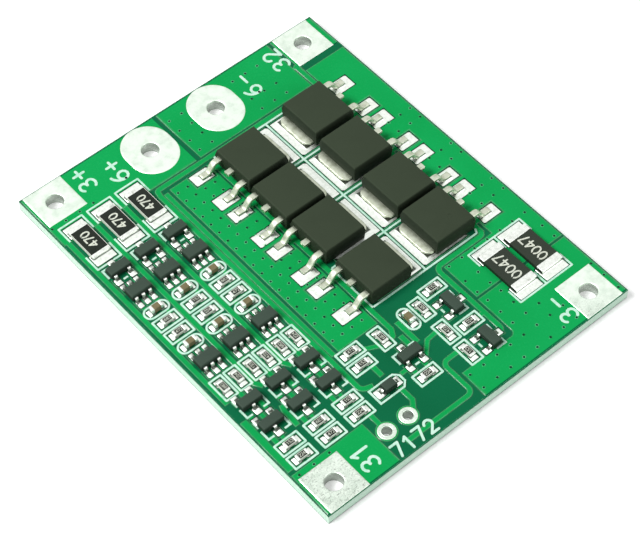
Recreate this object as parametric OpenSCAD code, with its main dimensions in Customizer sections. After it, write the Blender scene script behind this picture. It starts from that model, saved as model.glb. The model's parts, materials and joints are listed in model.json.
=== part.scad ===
// Battery management board for a pack of three cells in series.
//
// The board lies flat: X runs across its width, Y along its length, Z up from the
// lowest tinned land. The origin is under the middle of the board.
// The layers are built as a board house builds them: laminate, copper foil on both
// faces, solder mask over the foil, printed legend over the mask, then the tinned
// wire lands, the solder and the parts.

/* [Board] */
// Width of the board, along X
board_w = 45; // [45:0.5:48]
// Length of the board, along Y
board_l = 56; // [56:0.5:60]
// Thickness from mask to mask, over the copper
board_t = 1.6; // [1.2:0.1:2.4]
// Thickness of the copper foil
copper_t = 0.07; // [0.05:0.005:0.105]
// Thickness of the solder mask
mask_t = 0.03; // [0.02:0.005:0.04]
// Thickness of the tin on the wire lands, and of the solder under the parts
tin_t = 0.05; // [0.045:0.005:0.08]
// Thickness of the printed legend above the mask
legend_t = 0.02; // [0.01:0.005:0.03]
// Bare rim between the copper and the board's edge
copper_rim = 0.3; // [0.2:0.05:0.5]

/* [Wire lands] */
// Radius of the six holes for the thick wires
wire_hole_r = 1.1; // [0.9:0.05:1.3]
// Radius of the two holes for the thin sense wires
sense_hole_r = 0.6; // [0.4:0.05:0.7]
// Wall of the plating and its tin inside the holes
plating_t = 0.16; // [0.16:0.01:0.2]
// Side of the square lands in the corners
square_land = 5.5; // [4.5:0.1:5.6]
// Width of the two obround lands
obround_w = 6.4; // [5.6:0.1:6.6]
// Length of the two obround lands
obround_l = 7.75; // [7:0.05:7.8]
// Outer radius of the sense rings
sense_ring_r = 1.1; // [1:0.05:1.3]

/* [Power transistors] */
// Length of the moulded body, along its leads
power_body_l = 6.1; // [5.9:0.1:6.2]
// Width of the moulded body
power_body_w = 6.5; // [6.3:0.1:6.7]
// Height over the seat
power_h = 2.3; // [2.1:0.05:2.4]
// Thickness of the lead frame
power_frame_t = 0.5; // [0.4:0.05:0.6]
// Distance between neighbouring power transistors
power_pitch = 7.2; // [7:0.05:7.3]

/* [Cell channels] */
// Place of the first channel, across the board
channel_x0 = -19.7; // [-19.8:0.05:-19.6]
// Distance between neighbouring channels
channel_pitch = 4.13; // [4.1:0.01:4.15]

/* [Hidden] */

$fn = 32;

// ---- the stack of layers, from below ----
mask_foot = tin_t - mask_t;                    // under the lower mask
foil_foot = tin_t;                             // under the lower foil
core_foot = foil_foot + copper_t;              // under the laminate
mask_face = mask_foot + board_t;               // top of the upper mask, over copper
foil_face = mask_face - mask_t;                // top of the upper foil
core_face = foil_face - copper_t;              // top of the laminate
bare_face = core_face + mask_t;                // top of the upper mask, over laminate
seat = foil_face + tin_t;                      // top of the solder, where the parts stand
legend_face = mask_face + legend_t;
eps = 0.01;

rim_x = board_w / 2 - copper_rim;
rim_y = board_l / 2 - copper_rim;

// ---- where the wires are soldered ----
left_land_x = -(board_w / 2 - 3.2);
right_land_x = board_w / 2 - 3.55;
corner_land_y = board_l / 2 - 2.85;
cell_plus_at = [left_land_x, corner_land_y];
tap_1_at = [right_land_x, corner_land_y];
tap_2_at = [left_land_x, -corner_land_y];
cell_minus_at = [right_land_x, -corner_land_y];
pack_plus_at = [-6, board_l / 2 - 4];
pack_minus_at = [4.1, board_l / 2 - 4];
sense_1_at = [-10.8, -24.1];
sense_2_at = [-7.7, -24.1];
square_lands_at = [cell_plus_at, tap_1_at, tap_2_at, cell_minus_at];
obround_lands_at = [pack_plus_at, pack_minus_at];
sense_rings_at = [sense_1_at, sense_2_at];

// ---- the places of the power transistors, and where each one stands: the solder let
// them drift a little from their places ----
power_left_x = 1.75;
power_right_x = 12.35;
power_y0 = 14.4;
power_rows = [for (i = [0:3]) power_y0 - power_pitch * i];
power_places = concat([for (y = power_rows) [power_left_x, y, 180]],
    [for (y = power_rows) [power_right_x, y, 0]]);
power_drift = [[0, -0.25, 0], [-0.2, -0.05, 0], [0.05, 0.35, 0], [0.3, -0.15, 0],
    [0, 0.1, 0], [-0.15, 0.15, 0], [0, -0.1, 0], [-0.05, 0.2, 0]];
power_at = power_places + power_drift;

// ---- what each channel holds, from its top to its bottom ----
channels = [for (i = [0:2]) channel_x0 + channel_pitch * i];
bleed_y = 17.65;
bleed_switch_y = 12.2;
balancer_y = 8.3;
upper_capacitor_y = 5.05;
upper_resistors_y = [3, 0.9];
lower_capacitor_y = -1.15;
monitor_y = -4.2;
upright_resistors_y = -8.15;
upright_spread = 1.02;
level_switches_y = [-11.5, -15.15];
lower_resistors_y = [-18.45, -20.5];

// ---- chip parts: [x, y, turn] ----
resistors_at = concat(
    [for (x = channels) for (y = concat(upper_resistors_y, lower_resistors_y)) [x - 0.1, y, 0]],
    [for (x = channels) for (s = [-1, 1]) [x + s * upright_spread, upright_resistors_y, 90]],
    [[-7.1, -13.85, 0], [-7.15, -15.9, 0], [5.72, -13.3, 0], [5.72, -19.5, 0],
     [-2.5, -21.55, 0], [-3.2, -14.65, 90], [2.92, -14.6, 90], [2.92, -18.7, 90],
     [2.92, -22.35, 90]]);
channel_capacitors_at = [for (x = channels) for (y = [upper_capacitor_y, lower_capacitor_y])
    [x - 0.1, y, 0]];
stray_capacitor_at = [0.9, -14.65, 90];
capacitors_at = concat(channel_capacitors_at, [stray_capacitor_at]);
bleeds_at = [for (x = channels) [x - 0.1, bleed_y, 90]];
shunts_at = [[14.05, -16.9, 90], [18.15, -16.9, 90]];
diode_at = [-6.95, -20.05, 0];
balancers_at = [for (x = channels) [x - 0.1, balancer_y, 0]];
monitors_at = [for (x = channels) [x - 0.1, monitor_y, 0]];
// Small switches: the turn is the way that their single lead points, from +Y
bleed_switches_at = [for (x = channels) [x, bleed_switch_y, 0]];
level_switches_at = [for (x = channels) for (y = level_switches_y) [x - 0.05, y, 180]];
drive_switches_at = [[-2.35, -18.4, 0], [5.9, -16.35, -90], [5.9, -22.55, -90]];
switches_at = concat(bleed_switches_at, level_switches_at, drive_switches_at);

// ---- sizes of the chip parts: length, width, height, cap length ----
small_resistor = [1.6, 0.8, 0.45, 0.3];
small_capacitor = [1.6, 0.8, 0.8, 0.35];
bleed_resistor = [5, 2.5, 0.55, 0.5];
shunt = [6.4, 3.25, 0.65, 1];
cap_t = 0.04;
coat_t = 0.03;
coat_rim = 0.07;                               // bare ceramic beside the coat

// ---- sizes of the small moulded packages: length, width, height ----
sot_body = [2.9, 1.35, 1];
sot6_body = [2.9, 1.6, 1.1];
diode_body = [1.7, 1.25, 0.9];
sot_lead_w = 0.42;
sot_lead_t = 0.13;
sot_gap = 0.08;                                // under the body
sot_pitch = 0.95;

// ---- pads on the foil: [x, y, width, height] about the part's middle ----
chip_pads = [for (s = [-1, 1]) [0.82 * s, 0, 0.86, 0.96]];
bleed_pads = [for (s = [-1, 1]) [2.55 * s, 0, 1.8, 2.8]];
shunt_pads = [for (s = [-1, 1]) [3.15 * s, 0, 2.05, 3.5]];
diode_pads = [[-1.2, 0.05, 1.15, 1.2], [1.25, 0.05, 0.95, 1.2]];
sot_pads = [[0, 1.3, 0.85, 1], [-1, -1.25, 0.8, 1], [1, -1.25, 0.8, 1]];
sot6_pads = [for (s = [-1, 1]) for (i = [-1:1]) [sot_pitch * i, 1.45 * s, 0.6, 1.1]];
pad_rim = 0.08;                                // copper hidden under the mask's edge
gate_gap = 0.3;
power_lead_y = 2.3;
gate_pad = [2.65, 1.75];
source_pad = [2.85, 1.95];
power_pad_x = 5.65;
drain_left_x = -5.05;
drain_right_x = 1.6;

// ---------------------------------------------------------------- plane figures

// Rectangle between two corners, grown by g on every side
module pane(x0, y0, x1, y1, g = 0)
    translate([x0 - g, y0 - g]) square([x1 - x0 + 2 * g, y1 - y0 + 2 * g]);

// Rectangle about its middle, grown by g on every side
module tile(at, size, g = 0)
    pane(at[0] - size[0] / 2, at[1] - size[1] / 2, at[0] + size[0] / 2, at[1] + size[1] / 2, g);

// Points of an arc about a centre
function arc(centre, r, from, to, steps = 5) =
    [for (i = [0:steps]) let (a = from + (to - from) * i / steps)
        [centre[0] + r * cos(a), centre[1] + r * sin(a)]];

// Points of a rectangle about the origin, with corners of radius r
function round_box(w, h, r) = concat(
    arc([w / 2 - r, h / 2 - r], r, 0, 90), arc([r - w / 2, h / 2 - r], r, 90, 180),
    arc([r - w / 2, r - h / 2], r, 180, 270), arc([w / 2 - r, r - h / 2], r, 270, 360));

// Unit vector to the left of the way from p to q
function left_of(p, q) = [p[1] - q[1], q[0] - p[0]] / norm(q - p);

// Mitre at point i of a path: how far its outline lies from the path there
function mitre(path, i) =
    let (last = len(path) - 1,
         a = left_of(path[max(i - 1, 0)], path[max(i, 1)]),
         b = left_of(path[min(i, last - 1)], path[min(i + 1, last)]))
    (a + b) / (1 + a * b);

// Outline of a strip of width w along a path
function strip(path, w) = concat(
    [for (i = [0:len(path) - 1]) path[i] + mitre(path, i) * w / 2],
    [for (i = [len(path) - 1:-1:0]) path[i] - mitre(path, i) * w / 2]);

// The same path with both ends drawn out by g
function drawn_out(path, g) =
    let (n = len(path) - 1,
         first = (path[0] - path[1]) / norm(path[0] - path[1]),
         last = (path[n] - path[n - 1]) / norm(path[n] - path[n - 1]))
    concat([path[0] + first * g], [for (i = [1:1:n - 1]) path[i]], [path[n] + last * g]);

// A trace: a strip of copper along a path
module trace(path, w, g = 0) polygon(strip(drawn_out(path, g), w + 2 * g));

// Puts the children at [x, y, turn]
module put(at) translate([at[0], at[1], 0]) rotate([0, 0, at[2]]) children();

// Plane figures drawn out between two heights
module layer(z0, z1) translate([0, 0, z0]) linear_extrude(z1 - z0) children();

// ---------------------------------------------------------------- pads

module pads(list, g = 0) for (p = list) tile([p[0], p[1]], [p[2], p[3]], g);

// Pads of one power transistor, its leads towards +X: the gate's, the source's, the drain's
module power_gate_pad(g = 0) tile([power_pad_x, -power_lead_y], gate_pad, g);
module power_source_pad(g = 0) tile([power_pad_x, power_lead_y], source_pad, g);
module power_drain_pad(g = 0) pane(drain_left_x, -3.15, drain_right_x, 3.15, g);

module power_pads(g = 0) {
    power_gate_pad(g);
    power_source_pad(g);
    power_drain_pad(g);
}

// Every pad that a part is soldered to
module part_pads(g = 0) {
    for (at = resistors_at) put(at) pads(chip_pads, g);
    for (at = capacitors_at) put(at) pads(chip_pads, g);
    for (at = bleeds_at) put(at) pads(bleed_pads, g);
    for (at = shunts_at) put(at) pads(shunt_pads, g);
    for (at = balancers_at) put(at) pads(sot6_pads, g);
    for (at = monitors_at) put(at) pads(sot6_pads, g);
    for (at = switches_at) put(at) pads(sot_pads, g);
    for (at = power_places) put(at) power_pads(g);
    put(diode_at) pads(diode_pads, g);
}

// ---------------------------------------------------------------- copper artwork

module gate_clearances(g) for (at = power_places) put(at) power_gate_pad(gate_gap - g);

arc_in = 0.8;                                  // usual radius of a rounded corner
minus_pour_x = 8.75;                           // inner corner of the pour at the minus land
minus_pour_y = -24;

// Fillet of radius r that fills the inner corner at x, y, whose free side is up and left
module inner_corner(x, y, r, g) difference() {
    pane(x - r, y - eps, x + eps, y + r);
    translate([x - r, y + r]) circle(r - g);
}

// Wide pours on the upper face, which carry the current
module upper_pours(g = 0) {
    pane(-rim_x, 19.2, -2.85, rim_y, g);
    pane(-2.05, 19.2, 15.2, rim_y, g);
    pane(16, 22.5, rim_x, rim_y, g);
    pane(-rim_x, -rim_y, -12.3, -21.7, g);
    pane(-rim_x, -21, -21.5, -13, g);
    pane(minus_pour_x, -rim_y, rim_x, -17.85, g);
    pane(0.6, -rim_y, minus_pour_x + eps, minus_pour_y, g);
    inner_corner(minus_pour_x, minus_pour_y, arc_in, g);
    difference() {
        union() {
            pane(-7.9, -12.7, -2.2, 17.6, g);
            pane(16.4, -17.35, rim_x, 21.3, g);
            pane(8.9, -17.35, 16.4 + eps, -12, g);
        }
        gate_clearances(g);
    }
}

// Traces of one channel, about its middle line
module channel_traces(x, g = 0) {
    trace([[x, 13.6], [x, 15.2]], 0.5, g);
    trace([[x - 1, 10.6], [x - 1, 9.7]], 0.35, g);
    trace([[x - 1.05, 6.7], [x - 1.05, 5]], 0.35, g);
    trace([[x + 0.85, 6.7], [x + 0.85, 3]], 0.35, g);
    trace([[x - 0.95, 0.9], [x - 0.95, -2.6]], 0.35, g);
    trace([[x + 0.75, -1.2], [x + 0.75, -2.6]], 0.35, g);
    trace([[x - 1.02, -5.9], [x - 1.02, -7.3]], 0.35, g);
    trace([[x + 0.85, -5.9], [x + 1.02, -7.3]], 0.35, g);
    trace([[x - 1.02, -9], [x - 1.02, -10.2]], 0.35, g);
    trace([[x - 0.03, -9.3], [x - 0.03, -14.3]], 0.42, g);
    trace([[x - 0.1, -16.6], [x - 0.1, -18.4]], 0.3, g);
    trace([[x + 0.95, -10.4], [x + 0.95, -13.9]], 0.35, g);
    trace([[x - 1.2, -12.9], [x - 1.05, -13.9]], 0.45, g);
    trace([[x - 1.05, -16.4], [x - 1.05, -18.4]], 0.42, g);
}

sense_trace_path = concat([[15.6, 22.8], [15.8, 22.5]], arc([15.2, 19.1], 0.6, 0, -90),
    arc([-8.9, 18.1], 0.4, 90, 180), [[-9.42, 17.5]], arc([-8.62, -17.7], arc_in, 180, 260),
    [[-8.1, -18.7]]);
left_gate_bus = [[-1.5, 17], [-1.5, -14.4], [-2, -15.2], [-2.9, -15.5]];
right_gate_bus = concat([[15.55, 12], [15.55, -10.8]], arc([14.95, -10.8], 0.6, 0, -90),
    arc([8.8, -12.2], arc_in, 90, 180), arc([7.4, -22], 0.6, 0, -90));

module upper_traces(g = 0) {
    for (x = channels) channel_traces(x, g);
    for (x = [channels[0] + 2, channels[1] + 2])
        trace([[x, 19], [x, -9.9], [x + 0.45, -10.7]], 0.46, g);
    trace([[-17.3, -14.1], [-17.55, -14.9], [-17.6, -17.1]], 0.5, g);
    trace([[-21.75, 19.3], [-21.75, -10]], 0.45, g);
    trace([[-8.7, 17.4], [-8.7, -12.8]], 0.45, g);
    trace(sense_trace_path, 0.5, g);
    trace(left_gate_bus, 0.5, g);
    trace(right_gate_bus, 0.5, g);
    for (y = power_rows) {
        trace([[-1.5, y + power_lead_y], [-3, y + power_lead_y]], 0.4, g);
        trace([[15.55, y - power_lead_y], [17, y - power_lead_y]], 0.4, g);
    }
    trace([[-10.8, -21], [-10.8, -23.3]], 0.45, g);
    trace([[-5.95, -20.5], [-5.95, -22.9], [-6.9, -24.1], [-7.2, -24.1]], 0.45, g);
    trace(concat([[2.9, -21.5]], arc([0.55, -22.3], arc_in, 90, 180),
        arc([-1.05, -25.7], arc_in, 0, -90), [[-10, -26.5]]), 0.45, g);
    trace([[2.7, -17.9], [0.6, -18.1], [-0.9, -19.5]], 0.4, g);
    trace([[-0.38, -14.1], [-0.38, -17.5]], 0.5, g);
    trace([[-1.32, -15.8], [-1.32, -17.3]], 0.5, g);
    trace([[-6.4, -16.4], [-6.4, -18.3]], 0.5, g);
    trace([[-4.6, -19.55], [-3.4, -19.55]], 0.35, g);
    for (x = [-3.3, -1.7]) trace([[x, -19.8], [x, -21.5]], 0.45, g);
    trace([[-6.3, -14], [-5.2, -14.6], [-3.4, -15.5]], 0.4, g);
    trace([[3.9, -15.4], [2.9, -15.4]], 0.4, g);
    trace([[6.6, -19.5], [8, -19.5]], 0.4, g);
}

// Everything on the upper foil: pours, traces and the pads that lie outside them
module upper_art(g = 0) {
    upper_pours(g);
    upper_traces(g);
    part_pads(pad_rim + g);
    for (at = sense_rings_at) translate(at) circle(sense_ring_r + pad_rim + g);
}

// The lower foil carries the same currents in wider pours
module lower_art(g = 0) {
    pane(-rim_x, 19.2, -1.3, rim_y, g);
    pane(-0.7, 19.2, rim_x - 7, rim_y, g);
    pane(rim_x - 6.4, 19.2, rim_x, rim_y, g);
    pane(-8.2, -11.6, rim_x, 18.6, g);
    pane(-rim_x, -21, -8.8, 18.6, g);
    pane(-rim_x, -rim_y, -12.8, -21.6, g);
    pane(0.2, -rim_y, rim_x, -12.2, g);
    trace([[-10.8, -24.1], [-10.8, -21.6], [-8, -18.8], [-8, -12.2], [-0.4, -12.2]], 0.5, g);
    trace([[-7.7, -24.1], [-7.7, -21.8], [-0.4, -14.5]], 0.5, g);
    for (at = sense_rings_at) translate(at) circle(sense_ring_r + pad_rim + g);
}

// Outlines of the tinned lands
module square_outline(at) tile(at, [square_land, square_land]);
module obround_outline(at) translate(at)
    polygon(concat(arc([0, (obround_l - obround_w) / 2], obround_w / 2, 0, 180, 24),
        arc([0, (obround_w - obround_l) / 2], obround_w / 2, 180, 360, 24)));
module ring_outline(at) translate(at) circle(sense_ring_r);

module land_outlines() {
    for (at = square_lands_at) square_outline(at);
    for (at = obround_lands_at) obround_outline(at);
    for (at = sense_rings_at) ring_outline(at);
}

// Holes through the board, for the plating
module barrel_holes(z0, z1) {
    for (at = concat(square_lands_at, obround_lands_at))
        translate([at[0], at[1], z0]) cylinder(h = z1 - z0, r = wire_hole_r + plating_t);
    for (at = sense_rings_at)
        translate([at[0], at[1], z0]) cylinder(h = z1 - z0, r = sense_hole_r + plating_t);
}

// ---------------------------------------------------------------- the bare board

module laminate() color("darkkhaki") difference() {
    layer(core_foot, core_face) tile([0, 0], [board_w, board_l]);
    barrel_holes(core_foot - eps, core_face + eps);
}

module copper_top() color("peru") difference() {
    layer(core_face, foil_face) upper_art();
    barrel_holes(core_face - eps, foil_face + eps);
}

module copper_bottom() color("peru") difference() {
    layer(foil_foot, core_foot) lower_art();
    barrel_holes(foil_foot - eps, core_foot + eps);
}

// The mask lies thin on the laminate and steps up over the copper. Its wall beside
// the copper is as thick as it is.
module mask_top() color("mediumseagreen") difference() {
    union() {
        layer(core_face, bare_face) tile([0, 0], [board_w, board_l]);
        layer(core_face, mask_face) upper_art(mask_t);
    }
    layer(core_face - eps, foil_face) upper_art();
    layer(foil_face - eps, mask_face + eps) {
        part_pads();
        land_outlines();
    }
}

module mask_bottom() color("mediumseagreen") difference() {
    union() {
        layer(core_foot - mask_t, core_foot) tile([0, 0], [board_w, board_l]);
        layer(mask_foot, core_foot) lower_art(mask_t);
    }
    layer(foil_foot, core_foot + eps) lower_art();
    layer(mask_foot - eps, foil_foot + eps) land_outlines();
}

// ---------------------------------------------------------------- printed legend

line_w = 0.24;

// A closed line round a box with rounded corners
module frame_line(w, h, r = 0.15) difference() {
    polygon(round_box(w, h, r));
    polygon(round_box(w - 2 * line_w, h - 2 * line_w, max(r - line_w, 0.03)));
}

module chip_frame() frame_line(3.35, 1.9);
module capacitor_frame() frame_line(3.45, 1.8, 0.88);

// Two brackets open towards the middle
module bleed_frame() difference() {
    frame_line(7.9, 3.6);
    tile([0, 0], [3, 4]);
}

// One frame round both shunts, with a line between them
module shunt_frame() {
    middle = (shunts_at[0] + shunts_at[1]) / 2;
    translate([middle[0], middle[1]]) difference() {
        union() {
            frame_line(8.35, 9);
            tile([0, 0], [line_w, 9]);
        }
        tile([0, 0], [9, 4.7]);
    }
}

module diode_frame() difference() {
    polygon([[-2.1, -1.15], [1.5, -1.15], [2.15, -0.5], [2.15, 0.5], [1.5, 1.15], [-2.1, 1.15]]);
    polygon([[-1.86, -0.91], [1.4, -0.91], [1.91, -0.4], [1.91, 0.4], [1.4, 0.91], [-1.86, 0.91]]);
}

// Marks round a three-lead package, its single lead towards +Y: two brackets, whose feet
// lie at y = foot
module switch_brackets(foot) for (s = [-1, 1])
    trace([[1.53 * s, foot - 1.35], [1.53 * s, foot], [0.75 * s, foot]], line_w);

module switch_marks() {
    switch_brackets(1.1);
    trace([[-0.3, -1.33], [0.3, -1.33]], line_w);
}

module level_switch_marks() {
    translate([-0.08, 0]) switch_brackets(1.4);
    trace([[1.4, -0.4], [1.4, -1.35]], line_w);
}

// Lines between the power transistors
module power_lines() {
    left = -4.8;
    right = 15;
    middle = 7;
    half = power_pitch / 2;
    for (i = [0:4]) {
        y = power_y0 + half - power_pitch * i;
        trace([[left + 3.8, y], [right, y]], line_w);
    }
    foot = power_y0 - half - power_pitch * 3;
    trace([[middle, power_y0 + half], [middle, foot]], line_w);
    trace([[-1.1, foot + power_pitch], [-1.1, foot]], line_w);
    trace([[right, foot], [right + 0.3, foot + 0.6]], line_w);
}

module legend_art() {
    for (at = resistors_at) put(at) chip_frame();
    for (at = capacitors_at) put(at) capacitor_frame();
    for (at = bleeds_at) put(at) bleed_frame();
    for (at = concat(bleed_switches_at, drive_switches_at)) put(at) switch_marks();
    for (at = level_switches_at) put(at) level_switch_marks();
    put(diode_at) diode_frame();
    shunt_frame();
    power_lines();
}

// The ink fills the steps of the mask and stands a little over it
module legend() color("mintcream") difference() {
    layer(bare_face, legend_face) difference() {
        legend_art();
        part_pads(0.02);
        land_outlines();
    }
    layer(bare_face - eps, mask_face) upper_art(mask_t);
}

// ---------------------------------------------------------------- solder and lands

module solder() color("silver") layer(foil_face, seat) part_pads();

// A land plated through the board: a plate of tin on each face, and the barrel between.
// The child is its outline.
module plated_land(at, hole_r) color("gainsboro") difference() {
    union() {
        layer(foil_face, seat) children();
        layer(0, foil_foot) children();
        translate([at[0], at[1], 0]) cylinder(h = seat, r = hole_r + plating_t);
    }
    translate([at[0], at[1], -eps]) cylinder(h = seat + 2 * eps, r = hole_r);
}

module square_land_at(at) plated_land(at, wire_hole_r) square_outline(at);
module obround_land_at(at) plated_land(at, wire_hole_r) obround_outline(at);
module sense_ring_at(at) plated_land(at, sense_hole_r) ring_outline(at);

// ---------------------------------------------------------------- moulded packages

// A moulded body widest at its parting line, with drafted sides: size is length along X,
// width along Y and height
module moulded_body(size, z0, parting, draft_low, draft_high) {
    rings = [[draft_low, z0], [0, parting], [draft_high, z0 + size[2]]];
    points = [for (r = rings) for (s = [[-1, -1], [1, -1], [1, 1], [-1, 1]])
        [s[0] * (size[0] / 2 - r[0]), s[1] * (size[1] / 2 - r[0]), r[1]]];
    sides = [for (k = [0, 4]) for (i = [0:3]) let (j = (i + 1) % 4)
        [k + i, k + 4 + i, k + 4 + j, k + j]];
    polyhedron(points, concat([[0, 1, 2, 3]], sides, [[11, 10, 9, 8]]));
}

// A lead bent in the YZ plane and drawn out along X: path is its middle line, [y, z]
module bent_lead(path, w, t)
    translate([-w / 2, 0, 0]) rotate([90, 0, 90]) linear_extrude(w) polygon(strip(path, t));

// ---- power transistor: its leads towards +X, its middle at the origin ----

power_lead_w = 0.8;
power_exit_z = seat + 1.42;                    // middle of the leads where they leave the body
power_half = power_body_l / 2;
lead_root = power_half - 1.2;                  // where the leads end inside the body
tab_reach = 1.05;                              // of the tab past the body
tab_w = 5.4;
tab_corner = 0.9;
stub_reach = 0.85;

// The gate's and the source's leads: straight out, down in an S, then the foot
module power_lead(y) {
    foot_z = seat + power_frame_t / 2;
    bend = [for (i = [0:6]) [power_half + 0.72 + 1.25 * i / 6,
        foot_z + (power_exit_z - foot_z) * (1 + cos(30 * i)) / 2]];
    path = concat([[lead_root, power_exit_z]], bend, [[power_half + 2.95, foot_z]]);
    translate([0, y, 0]) rotate([0, 0, -90]) bent_lead(path, power_lead_w, power_frame_t);
}

// The plate that the chip sits on: its tab shows at one end, and a step up joins it
// to the cropped middle lead at the other
module drain_plate() {
    x0 = -power_half - tab_reach;
    layer(seat, seat + power_frame_t) polygon(concat(
        arc([x0 + tab_corner, tab_w / 2 - tab_corner], tab_corner, 90, 180),
        arc([x0 + tab_corner, tab_corner - tab_w / 2], tab_corner, 180, 270),
        [[lead_root - 1, -tab_w / 2], [lead_root - 1, tab_w / 2]]));
    path = [[lead_root - 1.5, seat + power_frame_t / 2], [lead_root - 1, seat + power_frame_t / 2],
        [lead_root, power_exit_z], [power_half + stub_reach, power_exit_z]];
    rotate([0, 0, -90]) bent_lead(path, power_lead_w, power_frame_t);
}

module power_frame_solid() {
    for (s = [-1, 1]) power_lead(s * power_lead_y);
    drain_plate();
}

module power_body_solid() difference() {
    moulded_body([power_body_l, power_body_w, power_h], seat, power_exit_z, 0.12, 0.24);
    power_frame_solid();
}

module power_package(i) color("darkslategray") put(power_at[i]) power_body_solid();
module power_frame(i) color("gainsboro") put(power_at[i]) power_frame_solid();

// ---- small packages ----

// A gull-wing lead that leaves the body at y = root, towards +Y
module gull_lead(x, root, exit_z, reach) {
    foot_z = seat + sot_lead_t / 2;
    path = [[root - 0.2, exit_z], [root + 0.12, exit_z],
        [root + 0.24, foot_z], [root + reach, foot_z]];
    translate([x, 0, 0]) bent_lead(path, sot_lead_w, sot_lead_t);
}

module switch_lead_set() {
    z = seat + sot_body[2] / 2;
    gull_lead(0, sot_body[1] / 2, z, 0.55);
    rotate([0, 0, 180]) for (s = [-1, 1]) gull_lead(sot_pitch * s, sot_body[1] / 2, z, 0.55);
}

module switch_body_solid() difference() {
    moulded_body([sot_body[0], sot_body[1], sot_body[2] - sot_gap], seat + sot_gap,
        seat + sot_body[2] / 2, 0.06, 0.08);
    switch_lead_set();
}

module six_lead_set() {
    z = seat + sot6_body[2] / 2;
    for (a = [0, 180]) rotate([0, 0, a]) for (i = [-1:1])
        gull_lead(sot_pitch * i, sot6_body[1] / 2, z, 0.6);
}

module six_lead_body_solid() difference() {
    moulded_body([sot6_body[0], sot6_body[1], sot6_body[2] - sot_gap], seat + sot_gap,
        seat + sot6_body[2] / 2, 0.06, 0.09);
    six_lead_set();
}

module diode_lead_set() {
    z = seat + diode_body[2] / 2;
    for (a = [-90, 90]) rotate([0, 0, a]) gull_lead(0, diode_body[0] / 2, z, 0.45);
}

module diode_body_solid() difference() {
    moulded_body([diode_body[0], diode_body[1], diode_body[2] - sot_gap], seat + sot_gap,
        seat + diode_body[2] / 2, 0.05, 0.07);
    diode_lead_set();
}

// ---------------------------------------------------------------- chip parts

// Ceramic block of a chip part between its two caps
module chip_core(size, wrap) translate([cap_t - size[0] / 2, wrap - size[1] / 2, seat + cap_t])
    cube([size[0] - 2 * cap_t, size[1] - 2 * wrap, size[2] - 2 * cap_t]);

// Caps over the ends: wrap is how far they reach round the sides, 0 on a film resistor
module chip_ends(size, wrap) difference() {
    for (s = [-1, 1]) translate([s * (size[0] - size[3]) / 2 - size[3] / 2, -size[1] / 2, seat])
        cube([size[3], size[1], size[2]]);
    chip_core(size, wrap);
}

// Glassy coat on the top between the caps
module chip_coat(size)
    translate([size[3] - size[0] / 2, coat_rim - size[1] / 2, seat + size[2] - cap_t])
        cube([size[0] - 2 * size[3], size[1] - 2 * coat_rim, coat_t]);

// ---------------------------------------------------------------- nodes

module land_cell_plus() square_land_at(cell_plus_at);
module land_cell_minus() square_land_at(cell_minus_at);
module land_tap_1() square_land_at(tap_1_at);
module land_tap_2() square_land_at(tap_2_at);
module land_pack_plus() obround_land_at(pack_plus_at);
module land_pack_minus() obround_land_at(pack_minus_at);
module sense_ring_1() sense_ring_at(sense_1_at);
module sense_ring_2() sense_ring_at(sense_2_at);

module shunt_body(i) color("dimgray") put(shunts_at[i]) chip_core(shunt, 0);
module shunt_caps(i) color("gainsboro") put(shunts_at[i]) chip_ends(shunt, 0);
module bleed_body(i) color("linen") put(bleeds_at[i]) chip_core(bleed_resistor, 0);
module bleed_caps(i) color("gainsboro") put(bleeds_at[i]) chip_ends(bleed_resistor, 0);
module bleed_resistor_coats() color("dimgray")
    for (at = bleeds_at) put(at) chip_coat(bleed_resistor);

module monitor_package(i) color("dimgray") put(monitors_at[i]) six_lead_body_solid();
module balancer_package(i) color("dimgray") put(balancers_at[i]) six_lead_body_solid();
module monitor_leads() color("silver") for (at = monitors_at) put(at) six_lead_set();
module balancer_leads() color("silver") for (at = balancers_at) put(at) six_lead_set();
module switch_packages() color("dimgray") for (at = switches_at) put(at) switch_body_solid();
module switch_leads() color("silver") for (at = switches_at) put(at) switch_lead_set();
module diode_package() color("dimgray") put(diode_at) diode_body_solid();
module diode_leads() color("silver") put(diode_at) diode_lead_set();

module chip_resistor_bodies() color("linen")
    for (at = resistors_at) put(at) chip_core(small_resistor, 0);
module chip_resistor_coats() color("dimgray")
    for (at = resistors_at) put(at) chip_coat(small_resistor);
module chip_capacitor_bodies() color("peru")
    for (at = capacitors_at) put(at) chip_core(small_capacitor, cap_t);
module chip_caps() color("gainsboro") {
    for (at = resistors_at) put(at) chip_ends(small_resistor, 0);
    for (at = capacitors_at) put(at) chip_ends(small_capacitor, cap_t);
}

laminate();
copper_top();
copper_bottom();
mask_top();
mask_bottom();
legend();
solder();
land_cell_plus();
land_cell_minus();
land_tap_1();
land_tap_2();
land_pack_plus();
land_pack_minus();
sense_ring_1();
sense_ring_2();
power_package(0);  // power_package_1
power_package(1);  // power_package_2
power_package(2);  // power_package_3
power_package(3);  // power_package_4
power_package(4);  // power_package_5
power_package(5);  // power_package_6
power_package(6);  // power_package_7
power_package(7);  // power_package_8
power_frame(0);  // power_frame_1
power_frame(1);  // power_frame_2
power_frame(2);  // power_frame_3
power_frame(3);  // power_frame_4
power_frame(4);  // power_frame_5
power_frame(5);  // power_frame_6
power_frame(6);  // power_frame_7
power_frame(7);  // power_frame_8
shunt_body(0);  // shunt_body_1
shunt_body(1);  // shunt_body_2
shunt_caps(0);  // shunt_caps_1
shunt_caps(1);  // shunt_caps_2
bleed_body(0);  // bleed_resistor_body_1
bleed_body(1);  // bleed_resistor_body_2
bleed_body(2);  // bleed_resistor_body_3
bleed_caps(0);  // bleed_resistor_caps_1
bleed_caps(1);  // bleed_resistor_caps_2
bleed_caps(2);  // bleed_resistor_caps_3
bleed_resistor_coats();
monitor_package(0);  // monitor_package_1
monitor_package(1);  // monitor_package_2
monitor_package(2);  // monitor_package_3
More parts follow.
